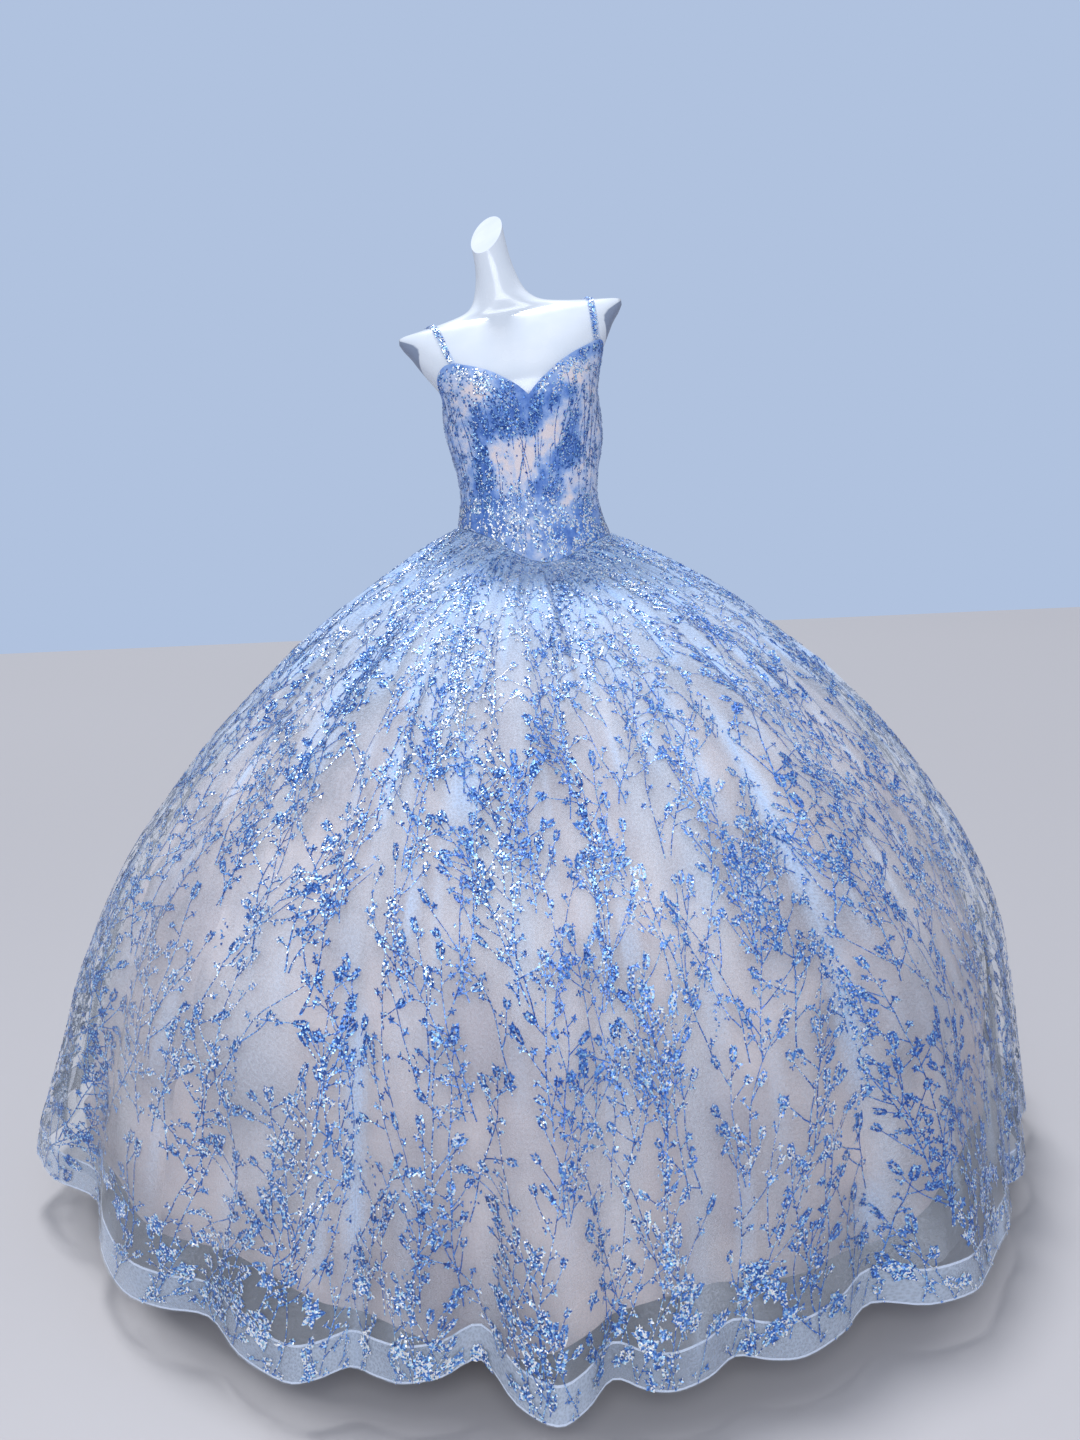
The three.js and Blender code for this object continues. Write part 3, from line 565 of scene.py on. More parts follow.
# Where the print is thick on the bodice: angle from its front, height, spreads, and how thick it is.
# A weight below 0 leaves a bare place.
BLOOMS = (
    (-27, 1196, 13, 15, 1.0), (-20, 1176, 8, 9, 0.8), (0, 1200, 13, 17, 1.0), (-3, 1180, 7, 9, 0.8),
    (-14, 1240, 11, 9, 0.9), (24, 1230, 10, 9, 0.9), (12, 1216, 8, 10, 0.7), (-41, 1180, 5, 18, 0.6),
    (-47, 1140, 4.5, 28, 1.0), (-52, 1088, 8, 24, 1.0), (37, 1176, 5, 22, 0.7), (40, 1150, 5, 16, 0.8),
    (30, 1138, 8, 12, 1.0), (24, 1118, 6, 14, 0.7), (7, 1084, 11, 13, 1.0), (22, 1072, 7, 10, 0.6),
    (9, 1112, 4, 14, 0.6), (-70, 1040, 15, 18, 0.7), (30, 1006, 12, 12, 1.0), (-30, 1068, 12, 8, 0.6),
    (0, 1050, 32, 11, 0.45), (-22, 1020, 16, 7, 0.5), (-4, 1000, 14, 7, 0.4), (-48, 1034, 10, 14, 0.6),
    (46, 1040, 8, 24, 0.6), (14, 1022, 10, 12, 0.7), (-36, 1244, 6, 8, -0.5), (37, 1252, 6, 8, -0.5),
    (17, 1176, 6, 22, -0.4), (-39, 1146, 3, 16, -0.5), (-9, 1142, 6, 22, -0.5), (30, 1062, 5, 10, -0.5),
    (150, 1110, 10, 50, 0.7), (-150, 1110, 10, 50, 0.7), (125, 1160, 8, 34, 0.6), (-125, 1160, 8, 34, 0.6),
    (168, 1180, 10, 14, 0.8), (-168, 1180, 10, 14, 0.8), (180, 1040, 70, 16, 0.7), (100, 1040, 20, 14, 0.6),
)
# Where its flakes are pale and silvery and their painted glints are thick: angle from its front, height,
# spreads and weight
SILVER_AND_GLINT_SPOTS = (
    (-46, 1276, 22, 14, 1.0), (36, 1262, 16, 13, 1.0), (-36, 1246, 10, 8, 0.8), (12, 1238, 9, 8, 0.6),
    (0, 1034, 50, 28, 0.95), (-25, 1012, 24, 12, 0.9), (-25, 1080, 10, 12, 0.7), (180, 1030, 80, 26, 0.7),
)


def spots_at(spots, angle, z):
    """The sum of a table's soft spots at places on the bodice."""
    own = from_front(angle)
    return sum(weight * bell(turn(own, centre), wide) * bell(z - height, tall)
               for centre, height, wide, tall, weight in spots)


def bloom_at(angle, z):
    """How thick the print is at a place on the bodice, from 0 to 1."""
    own = from_front(angle)
    edge = bell(neckline_height(angle) - z - 6, 9)
    seam = bell(z - waist_seam_height(angle) - 4, 13)
    sides = 0.24 * bell(np.abs(own) - 72, 20)
    return np.clip(0.14 + spots_at(BLOOMS, angle, z) + 0.5 * edge + 0.5 * seam + sides, 0, 1)


def silver_and_glint_at(angle, z):
    """How silvery the print is at a place on the bodice, with its painted glints, from 0 to 1."""
    seam = 0.7 * bell(z - waist_seam_height(angle), 26)
    return np.clip(0.12 + spots_at(SILVER_AND_GLINT_SPOTS, angle, z) + seam, 0, 1)


# Its main creases: angle from the front, height, rise per millimetre, half length,
# how high and how wide
BODICE_CREASES = (
    (-22, 1036, -0.35, 26, 2.0, 5), (-9, 1019, -0.3, 30, 2.2, 5), (7, 1003, -0.1, 24, 2.0, 5),
    (21, 1027, 0.4, 22, 1.8, 5), (-36, 1060, -0.6, 16, 1.8, 5), (-43, 1126, -1.5, 12, 1.6, 6),
    (34, 1092, 1.3, 14, 1.6, 6), (2, 1058, 0.15, 20, 1.4, 5), (64, 1048, 0.3, 20, 1.8, 6),
    (-66, 1052, -0.3, 22, 1.8, 6), (118, 1046, -0.3, 24, 1.8, 6), (-122, 1042, 0.3, 22, 1.8, 6),
    (160, 1062, 0.2, 18, 1.6, 6), (-158, 1070, -0.2, 20, 1.6, 6),
)
DEGREE_WIDE = 2.1


def bodice_creases(angle, z):
    own = from_front(angle)
    relief = 0
    for centre, height, rise, reach, high, wide in BODICE_CREASES:
        side = turn(own, centre) * DEGREE_WIDE
        relief = relief + high * bell(side, reach) * bell(z - height - rise * side, wide)
    return relief


def bodice_grid(start, end, depth):
    """Fine points of a bodice piece, its flat places and how thick the print is on it."""
    columns = np.linspace(start, end, (end - start) * PANEL_STEPS + 1)
    angles = waist_angle(columns)[None, :]
    share = np.linspace(1, 0, BODICE_ROWS)[:, None]
    seam = waist_seam_height(angles)
    z = seam + share * (neckline_height(angles) - seam)
    lift = bodice_lift(angles, z) + BODICE_WALL - depth + bodice_creases(angles, z)
    points = form_point(z, angles, lift)
    flat = np.stack(np.broadcast_arrays(columns[None, :] * COLUMN_WIDE, z), -1)
    return points, flat, bloom_at(angles, z)


# The placket lies behind the two back panels, over the two columns that they leave open
PLACKET = ("back_placket", 0, 2)
bodice = {}
for name, start, end in BODICE_PANELS + (PLACKET,):
    behind = name == PLACKET[0]
    sheer = "side_left" in name or "side_right" in name
    depth, wall = (BODICE_WALL + SEAM_GAP + 0.2, PLACKET_WALL) if behind else (SEAM_GAP, PANEL_WALL)
    points, flat, blooms = bodice_grid(start, end, depth)
    marks = {"bloom": blooms if behind else blooms * 0.8 + (0.16 if sheer else 0)}
    piece = make_shell(name + "_cloth", points, wall, [bodice_cloth], flat, marks)
    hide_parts(name)
    bodice[name] = piece, points
print("bodice pieces:", len(bodice))

# %% [markdown]
# ## The skirt's shape
# Cloth simulation could drop the skirt, but then the real gown's folds would be luck. The packed
# walls hold them already, so a smooth surface is drawn through the same table of rows and flutes,
# and finer gathers and creases are added on top.

# %% Skirt sizes
FOLD_COLUMNS = 2 * WAIST_COLUMNS
# Level rows from the waist seam to the hem: height, radius, how far the row follows the waist seam and
# the hem, how far its columns drift to the hem's flutes, the size of gathers and flutes, and how far
# inside the overskirt the tulle and the lining lie
SKIRT_FIELDS = ("z", "r", "waist", "hem", "drift", "gather", "flute", "tulle", "lining")
SKIRT_ROWS = (
    (1018, 130, 1, 0, 0, 0, 0, 1.9, 3.6), (994, 177, 0.85, 0, 0.04, 2.6, 0, 8, 13),
    (957, 238, 0.6, 0, 0.1, 4, 0.02, 11, 18), (904, 319, 0.3, 0, 0.2, 4.5, 0.06, 13, 23),
    (846, 395, 0.12, 0, 0.3, 4.5, 0.12, 15, 27), (780, 473, 0, 0, 0.42, 4, 0.18, 16, 31),
    (704, 550, 0, 0, 0.54, 3, 0.24, 17, 34), (614, 626, 0, 0, 0.66, 2, 0.3, 18, 37),
    (508, 700, 0, 0, 0.78, 1, 0.38, 19, 40), (384, 757, 0, 0, 0.9, 0, 0.5, 20, 43),
    (262, 788, 0, 0.1, 0.97, 0, 0.65, 22, 46), (165, 806, 0, 0.45, 1, 0, 0.82, 25, 50),
    (103, 817, 0, 1, 1, 0, 0.94, 27, 54), (58, 824, 0, 1, 1, 0, 1, 29, 56),
)
SKIRT = dict(zip(SKIRT_FIELDS, np.array(SKIRT_ROWS, float).T))
HEM_MEAN = 58
# How far the skirt leans to the left at each height
SWAY = ((58, -30), (150, -26), (262, -17), (384, -9), (508, -4), (614, 0), (780, 2), (1018, 0))
# The hem's flutes: angle of the crest, its reach, the dip after it, and the hem's height at each
CREST_SHARE = 0.66
FLUTES = (
    (-172, 22, 20, 44, 66), (-158, 30, 22, 40, 70), (-145, 20, 26, 50, 68), (-131, 28, 18, 46, 64),
    (-118, 22, 22, 52, 74), (-104, 26, 20, 58, 80), (-91, 20, 14, 66, 84), (-80, 22, 10, 78, 88),
    (-69, 24, 38, 88, 86), (-42, 0, 26, 60, 66), (-21.5, 11, 22, 50, 60), (-11.5, -12, 40, 56, 70),
    (1, 34, 14, 46, 58), (10.5, 8, 16, 50, 58), (22, 9, 16, 50, 58), (39, 44, -30, 50, 48),
    (50, 18, 8, 46, 50), (62, 8, 18, 42, 54), (76, 16, 18, 36, 50), (90, 20, 22, 32, 54),
    (103, 24, 18, 38, 60), (117, 26, 24, 40, 66), (130, 20, 20, 44, 62), (144, 28, 24, 42, 70),
    (157, 24, 20, 46, 64), (170, 20, 18, 50, 62),
)
OVERSKIRT_GORES = (
    ("overskirt_front", 22, 30), ("overskirt_side_front_right", 30, 38),
    ("overskirt_side_back_right", 38, 46), ("overskirt_back_right", 46, 53),
    ("overskirt_back_left", 1, 6), ("overskirt_side_back_left", 6, 14),
    ("overskirt_side_front_left", 14, 22),
)
HEM_BANDS = (
    ("hem_band_front", 18, 32), ("hem_band_right", 32, 44), ("hem_band_back", 44, 58),
    ("hem_band_left", 6, 18),
)
TULLE_PANELS = (
    ("tulle_front", 18, 32), ("tulle_right", 32, 46), ("tulle_back", 46, 58), ("tulle_left", 6, 18),
)
LINING_GORES = (
    ("lining_front", 19, 35), ("lining_side_right", 35, 44), ("lining_back_right", 44, 53),
    ("lining_back_left", 1, 10), ("lining_side_left", 10, 19),
)
LINING_HEM_MEAN, LINING_HEM_WAVE, LINING_HEM_WAVES = 124, 17, 9
LINING_FRONT_DROP, LINING_FRONT_ANGLE, LINING_FRONT_SPREAD = 46, -3, 7


def hem_shape(column):
    """The hem's angle, outward reach and height at a fold column."""
    index, step = divmod(column % FOLD_COLUMNS, 4)
    peak, reach, dip, low, high = FLUTES[index]
    before = FLUTES[index - 1]
    if step == 2:
        return peak, reach, low
    if step == 0:
        return before[0] + turn(peak, before[0]) / 2, -before[2], before[4]
    left, after = hem_shape(column - 1), hem_shape(column + 1)
    crest, trough = (after, left) if step == 1 else (left, after)
    out, height = (trough[n] + CREST_SHARE * (crest[n] - trough[n]) for n in (1, 2))
    return left[0] + turn(after[0], left[0]) / 2, out, height


HEM_ANGLE, HEM_OUT, HEM_Z = np.array([hem_shape(c) for c in range(FOLD_COLUMNS)]).T
whole = np.arange(WAIST_COLUMNS)
seam_z = waist_seam_height(waist_angle(whole))
seam_lift = bodice_lift(waist_angle(whole), seam_z) + BODICE_WALL
seam_points = form_point(seam_z, waist_angle(whole), seam_lift)
seam_points[:, 2] -= SEAM_GAP
WAIST_POINTS = np.empty((FOLD_COLUMNS, 3))
WAIST_POINTS[0::2] = seam_points
WAIST_POINTS[1::2] = (seam_points + np.roll(seam_points, -1, axis=0)) / 2


def skirt_net(depth, gather=0, flute=0, lift=0, last=13, last_height=None):
    """A layer's net of points, row by row down from the waist seam and column by column round.
    depth is how far inside the overskirt each row lies, gather and flute are the layer's shares of the
    folds, and lift raises its hem."""
    columns = np.arange(FOLD_COLUMNS)
    even = 360 * columns / FOLD_COLUMNS - 180
    gathers = np.where(columns % 2 == 0, -1, 1) * (1 + 0.3 * np.sin(5.1 * columns))
    waist = form_section(WAIST_POINTS[:, 2])
    waist_radius = np.hypot(WAIST_POINTS[:, 0] - waist["cx"], WAIST_POINTS[:, 1] - waist["cy"])
    net = []
    for i in range(last + 1):
        row = {field: values[i] for field, values in SKIRT.items()}
        above, below = max(i - 1, 0), min(i + 1, len(SKIRT_ROWS) - 1)
        fall = SKIRT["z"][above] - SKIRT["z"][below]
        run = SKIRT["r"][below] - SKIRT["r"][above]
        out_r, out_z = fall / np.hypot(fall, run), run / np.hypot(fall, run)
        angle = np.radians(even + row["drift"] * turn(HEM_ANGLE, even))
        folds = gather * row["gather"] * gathers + flute * row["flute"] * HEM_OUT
        radius = row["r"] + (waist_radius - SKIRT["r"][0]) * row["waist"] + folds - depth[i] * out_r
        sway = along(*zip(*SWAY), row["z"])
        x = sway + (waist["cx"] - sway) * row["waist"] + radius * np.sin(angle)
        y = waist["cy"] * row["waist"] - radius * np.cos(angle)
        height = row["z"] + (WAIST_POINTS[:, 2] - SKIRT["z"][0]) * row["waist"]
        height = height + (HEM_Z - HEM_MEAN + lift) * row["hem"]
        if i == last and last_height is not None:
            height = last_height
        net.append(np.stack([x, y, height - depth[i] * out_z], -1))
    return np.array(net)


# How far down the cloth each row lies from the waist seam
SLANTS = np.concatenate([[0], np.cumsum(np.hypot(np.diff(SKIRT["r"]), np.diff(SKIRT["z"])))])
SKIRT_LONG = SLANTS[-1]
HEM_COLUMN_WIDE = 2 * math.pi * SKIRT["r"][-1] / WAIST_COLUMNS
WAIST_COLUMN_WIDE = 36


def row_at(slant):
    return np.interp(slant, SLANTS, np.arange(len(SLANTS)))


def flat_wide(slant):
    """The flat width of one waist column: the skirt is cut wider than it hangs at the waist."""
    return WAIST_COLUMN_WIDE + (HEM_COLUMN_WIDE - WAIST_COLUMN_WIDE) * slant / SKIRT_LONG


def layer_grid(net, start, end, steps, slants, relief):
    """Fine points of one piece of a layer, its flat places and its columns."""
    columns = np.linspace(start, end, (end - start) * 2 * steps + 1)
    points = read_net(net, row_at(slants), columns * 2 % FOLD_COLUMNS, True)
    points = points + relief(slants[:, None], columns[None, :])[..., None] * normals_of(points)
    middle = (start + end) / 2
    flat_x = (columns[None, :] - middle) * flat_wide(slants)[:, None]
    flat = np.stack(np.broadcast_arrays(flat_x, -slants[:, None]), -1)
    return points, flat, columns


def make_layer(pieces, net, steps, slants, relief, wall, materials, suffix, slot, fold=None):
    """Makes each piece of a layer from its name, first and last column. Returns objects and fine points."""
    layer = {}
    for name, start, end in pieces:
        points, flat, columns = layer_grid(net, start, end, steps, slants, relief)
        marks = {"fold": fold(slants[:, None], columns[None, :])} if fold else None
        piece = make_shell(name + suffix, points, wall, materials, flat, marks)
        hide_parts(name)
        layer[name] = piece, points
    print(slot, "pieces:", len(layer))
    return layer


print("skirt slant length:", round(SKIRT_LONG * MM, 3), "m")


# %% [markdown]
# ### Gathers
# Sewn into the waist seam, the net falls in small uneven pleats that open out down the skirt. A wave
# whose phase wanders looks sewn; a plain sine looks like a machine. The same wave marks where the
# net doubles up, so that the material can show those streaks denser.

# %% Gathers and folds
# The main creases: waist column, slant of the top and the end, drift in columns, height
# and half width in millimetres
MAIN_CREASES = (
    (22.9, 90, 760, -0.4, 5.5, 12), (20.2, 160, 620, -0.3, 4.0, 16), (22.0, 60, 330, 0.2, 3.5, 9),
    (24.6, 40, 260, 0.1, 3.0, 8), (26.3, 50, 420, 0.2, 3.5, 9), (27.9, 70, 700, 0.3, 5.0, 11),
    (28.9, 220, 840, 0.2, 3.5, 14), (30.3, 120, 640, 0.6, 6.0, 15), (32.4, 150, 560, 0.3, 4.0, 16),
    (34.6, 80, 480, 0.2, 4.5, 13), (37.1, 140, 700, 0.4, 5.0, 14), (39.5, 60, 380, -0.2, 3.5, 10),
    (42.2, 110, 640, 0.3, 5.0, 15), (45.0, 90, 520, -0.3, 4.0, 12), (47.6, 150, 760, 0.4, 5.5, 14),
    (50.2, 70, 430, -0.2, 3.5, 10), (1.6, 120, 690, 0.3, 5.0, 13), (4.1, 60, 400, -0.2, 4.0, 11),
    (6.8, 140, 620, 0.4, 5.0, 15), (9.4, 90, 520, -0.3, 4.5, 12), (12.1, 130, 720, 0.3, 5.5, 14),
    (14.7, 80, 440, -0.2, 3.5, 11), (17.3, 110, 600, -0.4, 4.5, 14),
)
TROUGH_SHARE, TROUGH_ASIDE = 0.5, 2.2
GATHERS_PER_COLUMN, GATHER_WANDER, GATHER_HIGH = 1.7, 2.4, 1.7
GATHER_FROM, GATHER_FADE = 60, 330
CREASE_DOUBLED = 0.42


def round_and_down(slant, column):
    """A place on the skirt as two shares: how far round it lies and how far down."""
    return column / WAIST_COLUMNS, slant / SKIRT_LONG


def main_creases(slant, column):
    """How far each place rises on a main crease, and how much the net doubles up there."""
    relief, doubled = 0, 0
    for start, top, end, drift, high, wide in MAIN_CREASES:
        share = np.clip((slant - top) / (end - top), 0, 1)
        off = column - start - drift * share
        across = ((off + WAIST_COLUMNS / 2) % WAIST_COLUMNS - WAIST_COLUMNS / 2) * flat_wide(slant)
        swell = np.sin(math.pi * share) ** 0.7
        ridge = bell(across, wide) - TROUGH_SHARE * bell(across - TROUGH_ASIDE * wide, wide)
        relief = relief + high * swell * ridge
        doubled = doubled + swell * bell(across, 0.75 * wide)
    return relief, doubled


def gather_relief(slant, column):
    around, share = round_and_down(slant, column)
    wander = soft_noise(11, around, share, 26, 5)
    fine = np.sin(2 * math.pi * GATHERS_PER_COLUMN * column + GATHER_WANDER * wander)
    fade = bell(np.maximum(slant - GATHER_FROM, 0), GATHER_FADE)
    size = GATHER_HIGH * np.clip(slant / GATHER_FROM, 0, 1) * fade
    soft = 2.2 * soft_noise(12, around, share, 60, 12) * np.clip(slant / 200, 0, 1)
    return fine * size + soft + main_creases(slant, column)[0]


def fold_marks(slant, column):
    """How much the gathered net doubles up, from 0 to 1: in streaks, near the waist and on the creases."""
    around, share = round_and_down(slant, column)
    streaks = soft_noise(21, around + 0.012 * share, share, 208, 7)
    patches = 0.6 + 0.7 * soft_noise(22, around, share, 70, 18)
    fade = 0.3 + 0.7 * bell(slant, 480)
    near_waist = 0.75 * bell(slant, 200) + 0.09 * (1 - share)
    folds = np.clip(1.1 * streaks - 0.2, 0, 1) * np.clip(patches, 0, 1.2) * fade + near_waist
    folds = folds + CREASE_DOUBLED * main_creases(slant, column)[1] * np.clip(patches, 0.2, 1)
    return np.clip(folds, 0, 1)


# %% Overskirt gores
OVERSKIRT_ROWS = 80
OVERSKIRT_STEPS = 4
NET_WALL = 0.6
ALLOWANCE_WIDE = 0.12


def gore_marks(slant, column):
    """Fold marks, and the turned-in allowance along a gore's two edges, thicker in some places."""
    around, share = round_and_down(slant, column)
    from_edge = np.minimum(column - column.min(), column.max() - column)
    patchy = np.clip(0.35 + 0.65 * soft_noise(62, around, share, 52, 20), 0, 1)
    allowance = bell(from_edge, ALLOWANCE_WIDE) * patchy * (1 - 0.4 * share)
    return np.clip(fold_marks(slant, column) + allowance, 0, 1)


overskirt_net = skirt_net(np.full(14, 0.5), gather=1, flute=1)
overskirt_slants = np.linspace(0, SKIRT_LONG, OVERSKIRT_ROWS)
overskirt = make_layer(
    OVERSKIRT_GORES, overskirt_net, OVERSKIRT_STEPS, overskirt_slants, gather_relief, NET_WALL,
    [blue_tulle], "_net", "glitter_tulle", gore_marks)

# %% [markdown]
# ### White net
# The plain net under the print hangs smoother than the overskirt and follows only half of its flutes.
# It has the same main creases a little to one side, so that the two layers never match exactly.

# %% Plain tulle
TULLE_ROWS = 46
TULLE_STEPS = 3
TULLE_SHARE, TULLE_LIFT = 0.55, 22
TULLE_ASIDE = 0.55


def tulle_relief(slant, column):
    around, share = round_and_down(slant, column)
    return 3.0 * soft_noise(31, around, share, 56, 9) * np.clip(slant / 250, 0, 1)


def tulle_marks(slant, column):
    around, share = round_and_down(slant, column)
    patches = np.clip(soft_noise(32, around, share, 34, 7), 0, 1)
    streaks = np.clip(soft_noise(33, around - 0.01 * share, share, 90, 6), 0, 1)
    near_waist = 0.4 * bell(slant, 170) + 0.12 * (1 - share)
    creases = 0.5 * main_creases(slant, column + TULLE_ASIDE)[1]
    return np.clip(0.35 * patches + 0.5 * streaks**2 + near_waist + creases, 0, 1)


tulle_net = skirt_net(SKIRT["tulle"] + 0.4, flute=TULLE_SHARE, lift=TULLE_LIFT)
tulle_slants = np.linspace(0, SKIRT_LONG, TULLE_ROWS)
tulle = make_layer(
    TULLE_PANELS, tulle_net, TULLE_STEPS, tulle_slants, tulle_relief, NET_WALL,
    [white_tulle], "_net", "plain_tulle", tulle_marks)

# %% [markdown]
# ### Satin lining
# Satin is heavier than net, so it hangs in soft, rounded puckers. Ridged noise gives their soft
# crests, and long folds run down to a hem that rises and falls.

# %% Lining gores
LINING_ROWS = 60
LINING_STEPS = 4
LINING_SHARE = 0.4
SATIN_WALL = 0.9
LINING_ASIDE = 1.3


def lining_relief(slant, column):
    around, share = round_and_down(slant, column)
    ridges = 1 - 2 * np.abs(soft_noise(41, around + 0.02 * np.sin(9 * share), share, 40, 11))
    small = soft_noise(42, around - 0.03 * share, share, 90, 22)
    tall = soft_noise(43, around, share, 36, 3)
    hung = 7.0 * ridges + 2.0 * small + 3.0 * tall + 0.8 * main_creases(slant, column + LINING_ASIDE)[0]
    return hung * np.clip(slant / 220, 0, 1)


hem_wave = LINING_HEM_WAVE * np.sin(np.radians(LINING_HEM_WAVES * HEM_ANGLE))
hem_lobe = LINING_FRONT_DROP * bell(turn(HEM_ANGLE, LINING_FRONT_ANGLE), LINING_FRONT_SPREAD)
lining_hem = LINING_HEM_MEAN + hem_wave - hem_lobe
lining_net = skirt_net(SKIRT["lining"] + 0.5, flute=LINING_SHARE, last=12, last_height=lining_hem)
lining_slants = np.linspace(0, SLANTS[12], LINING_ROWS)
lining = make_layer(
    LINING_GORES, lining_net, LINING_STEPS, lining_slants, lining_relief, SATIN_WALL,
    [satin], "_satin", "satin_lining")

# %% [markdown]
# ### Hem band
# The hem is faced with a doubled band that shows through the net as a paler strip. Its two edges are
# rolled and stitched white, so its first and last row of faces have the thread's material.

# %% Hem bands
BAND_DEPTH = 2.3
BAND_ROWS = 7
EDGE_WIDE = 2.4


def band_marks(slant, column):
    return 0.5 + 0.5 * soft_noise(51, column / WAIST_COLUMNS, 0.5 + 0 * slant, 70, 2)


band_net = skirt_net(np.full(14, BAND_DEPTH), gather=1, flute=1)
band_slants = np.concatenate([
    [SLANTS[12], SLANTS[12] + EDGE_WIDE],
    np.linspace(SLANTS[12] + EDGE_WIDE, SKIRT_LONG - EDGE_WIDE, BAND_ROWS)[1:-1],
    [SKIRT_LONG - EDGE_WIDE, SKIRT_LONG],
])
bands = make_layer(
    HEM_BANDS, band_net, OVERSKIRT_STEPS, band_slants, gather_relief, NET_WALL,
    [band_tulle, thread], "_net", "hem_band", band_marks)
for piece, points in bands.values():
    rows, across = points.shape[0] - 1, points.shape[1] - 1
    for face in [*range(across), *range((rows - 1) * across, rows * across)]:
        piece.data.polygons[face].material_index = 1

# %% Places on a layer
def lay(points, normals, rows, columns, height):
    """Places on a fine grid, at fractional rows and columns, lifted off it."""
    rows = np.clip(rows, 0, points.shape[0] - 1.001)
    columns = np.clip(columns, 0, points.shape[1] - 1.001)
    i, j = rows.astype(int), columns.astype(int)
    y, x = (rows - i)[:, None], (columns - j)[:, None]
    result = []
    for source in (points, normals):
        upper = source[i, j] * (1 - x) + source[i, j + 1] * x
        lower = source[i + 1, j] * (1 - x) + source[i + 1, j + 1] * x
        result.append(upper * (1 - y) + lower * y)
    return result[0] + np.asarray(height)[:, None] * result[1]


# %% [markdown]
# ## The glitter print
# The print is sprigs that grow up from the hem: pairs of thin stems, side twigs, and heads of small
# petals. It could be painted in a texture; as real raised petals it catches light at its edges and
# keeps its shape up close. Each gore is cut from its own length of cloth, so its print stops at its
# seams, and the pattern is a general one grown from rules and a fixed seed.

# %% Sprigs in the flat cloth
STEM_STEP = 10
STEM_WIDE, STEM_TAPER, STEM_HIGH, STEM_SILVER_AND_GLINT = 1.7, 0.6, 0.3, 0.5
CLUMP_STEP, CLUMP_PETAL = 5, 1.7
FURRY, STAYS_AS_IT_IS = 0.13, 0.8
TWIG_CHANCE, FLORET_CHANCE = 0.16, 0.5


def step_from(x, y, heading, ahead, aside=0.0):
    """The place so far ahead and to the right of another; heading is in degrees from straight up."""
    sin, cos = math.sin(math.radians(heading)), math.cos(math.radians(heading))
    return x + ahead * sin + aside * cos, y + ahead * cos - aside * sin


def start_print(name):
    """A piece's own seeded draws, and its pattern of petals and stems in the flat cloth."""
    return random.Random("print of " + name), {"petals": [], "stems": []}


def grow_stem(chance, x, y, heading, length, bend):
    """A wandering line of places in the flat cloth."""
    line = [(x, y, heading)]
    for _ in range(max(2, int(length / STEM_STEP))):
        heading += bend + chance.uniform(-7, 7)
        x, y = step_from(x, y, heading, STEM_STEP)
        line.append((x, y, heading))
    return line


def add_petal(pattern, chance, x, y, heading, size):
    """One petal: place, heading, size and how much longer than wide it is."""
    size = size * chance.uniform(0.8, 1.25)
    pattern["petals"].append((x, y, math.radians(heading), size, chance.uniform(1.1, 1.9)))


def add_floret(pattern, chance, x, y, size, petals=5):
    first = chance.uniform(0, 360)
    for petal in range(petals):
        heading = first + 360 / petals * petal
        add_petal(pattern, chance, *step_from(x, y, heading, size * 1.15), heading, size)


def add_head(pattern, chance, x, y, heading, count, size):
    """A spike of petals in pairs, widest at its middle."""
    for n in range(count):
        side = -1 if n % 2 else 1
        aside = size * 1.1 * side * math.sin(math.pi * (n // 2 + 1) / (count / 2 + 1))
        spot = step_from(x, y, heading, n // 2 * size * 1.5, aside)
        add_petal(pattern, chance, *spot, heading + side * 32, size)


def add_clump(pattern, chance, x, y, heading, length, wide):
    """A furry stretch of a stem: small petals thrown close on both of its sides."""
    for n in range(int(length / CLUMP_STEP)):
        ahead = n * CLUMP_STEP + chance.uniform(-2, 2)
        spot = step_from(x, y, heading, ahead, chance.gauss(0, 0.42) * wide)
        add_petal(pattern, chance, *spot, heading + chance.uniform(-70, 70), CLUMP_PETAL)


def grow_sprig(pattern, chance, x, y, size):
    """One plant: thin stems with florets on short twigs, longer twigs with heads, and furry stretches."""
    for _ in range(chance.choice((1, 2, 2))):
        lean = chance.uniform(-24, 24)
        foot = x + chance.uniform(-14, 14)
        line = grow_stem(chance, foot, y, lean, size * chance.uniform(0.7, 1.25), -lean / 15)
        pattern["stems"].append(line)
        side = chance.choice((-1, 1))
        furry = chance.random() < FURRY
        for n, (sx, sy, heading) in enumerate(line[1:-1]):
            rise = n / max(len(line) - 3, 1)
            furry = furry if chance.random() < STAYS_AS_IT_IS else chance.random() < FURRY
            if furry:
                add_clump(pattern, chance, sx, sy, heading, 1.3 * STEM_STEP, 6)
            luck = chance.random()
            side = -side if luck < FLORET_CHANCE else side
            if luck < TWIG_CHANCE:
                length = size * chance.uniform(0.12, 0.32) * (1.1 - 0.4 * rise)
                away = heading + side * chance.uniform(26, 58)
                twig = grow_stem(chance, sx, sy, away, length, -side * 2.5)
                pattern["stems"].append(twig)
                for tx, ty, _ in twig[1:-1]:
                    if chance.random() < 0.4:
                        add_floret(pattern, chance, tx + chance.choice((-5, 5)), ty, 1.7, 3)
                add_head(pattern, chance, *twig[-1], chance.choice((6, 8, 10)), 2.4)
            elif luck < FLORET_CHANCE:
                away = heading + side * chance.uniform(30, 62)
                tx, ty = step_from(sx, sy, away, chance.uniform(7, 17))
                pattern["stems"].append([(sx, sy, away), (tx, ty, away)])
                add_floret(pattern, chance, tx, ty, 1.9, chance.choice((3, 4, 5)))
        add_head(pattern, chance, *line[-1], chance.choice((8, 10, 12)), 2.5)
    if chance.random() < 0.5:
        add_clump(pattern, chance, x, y + size * 0.1, 0, size * 0.2, 8)


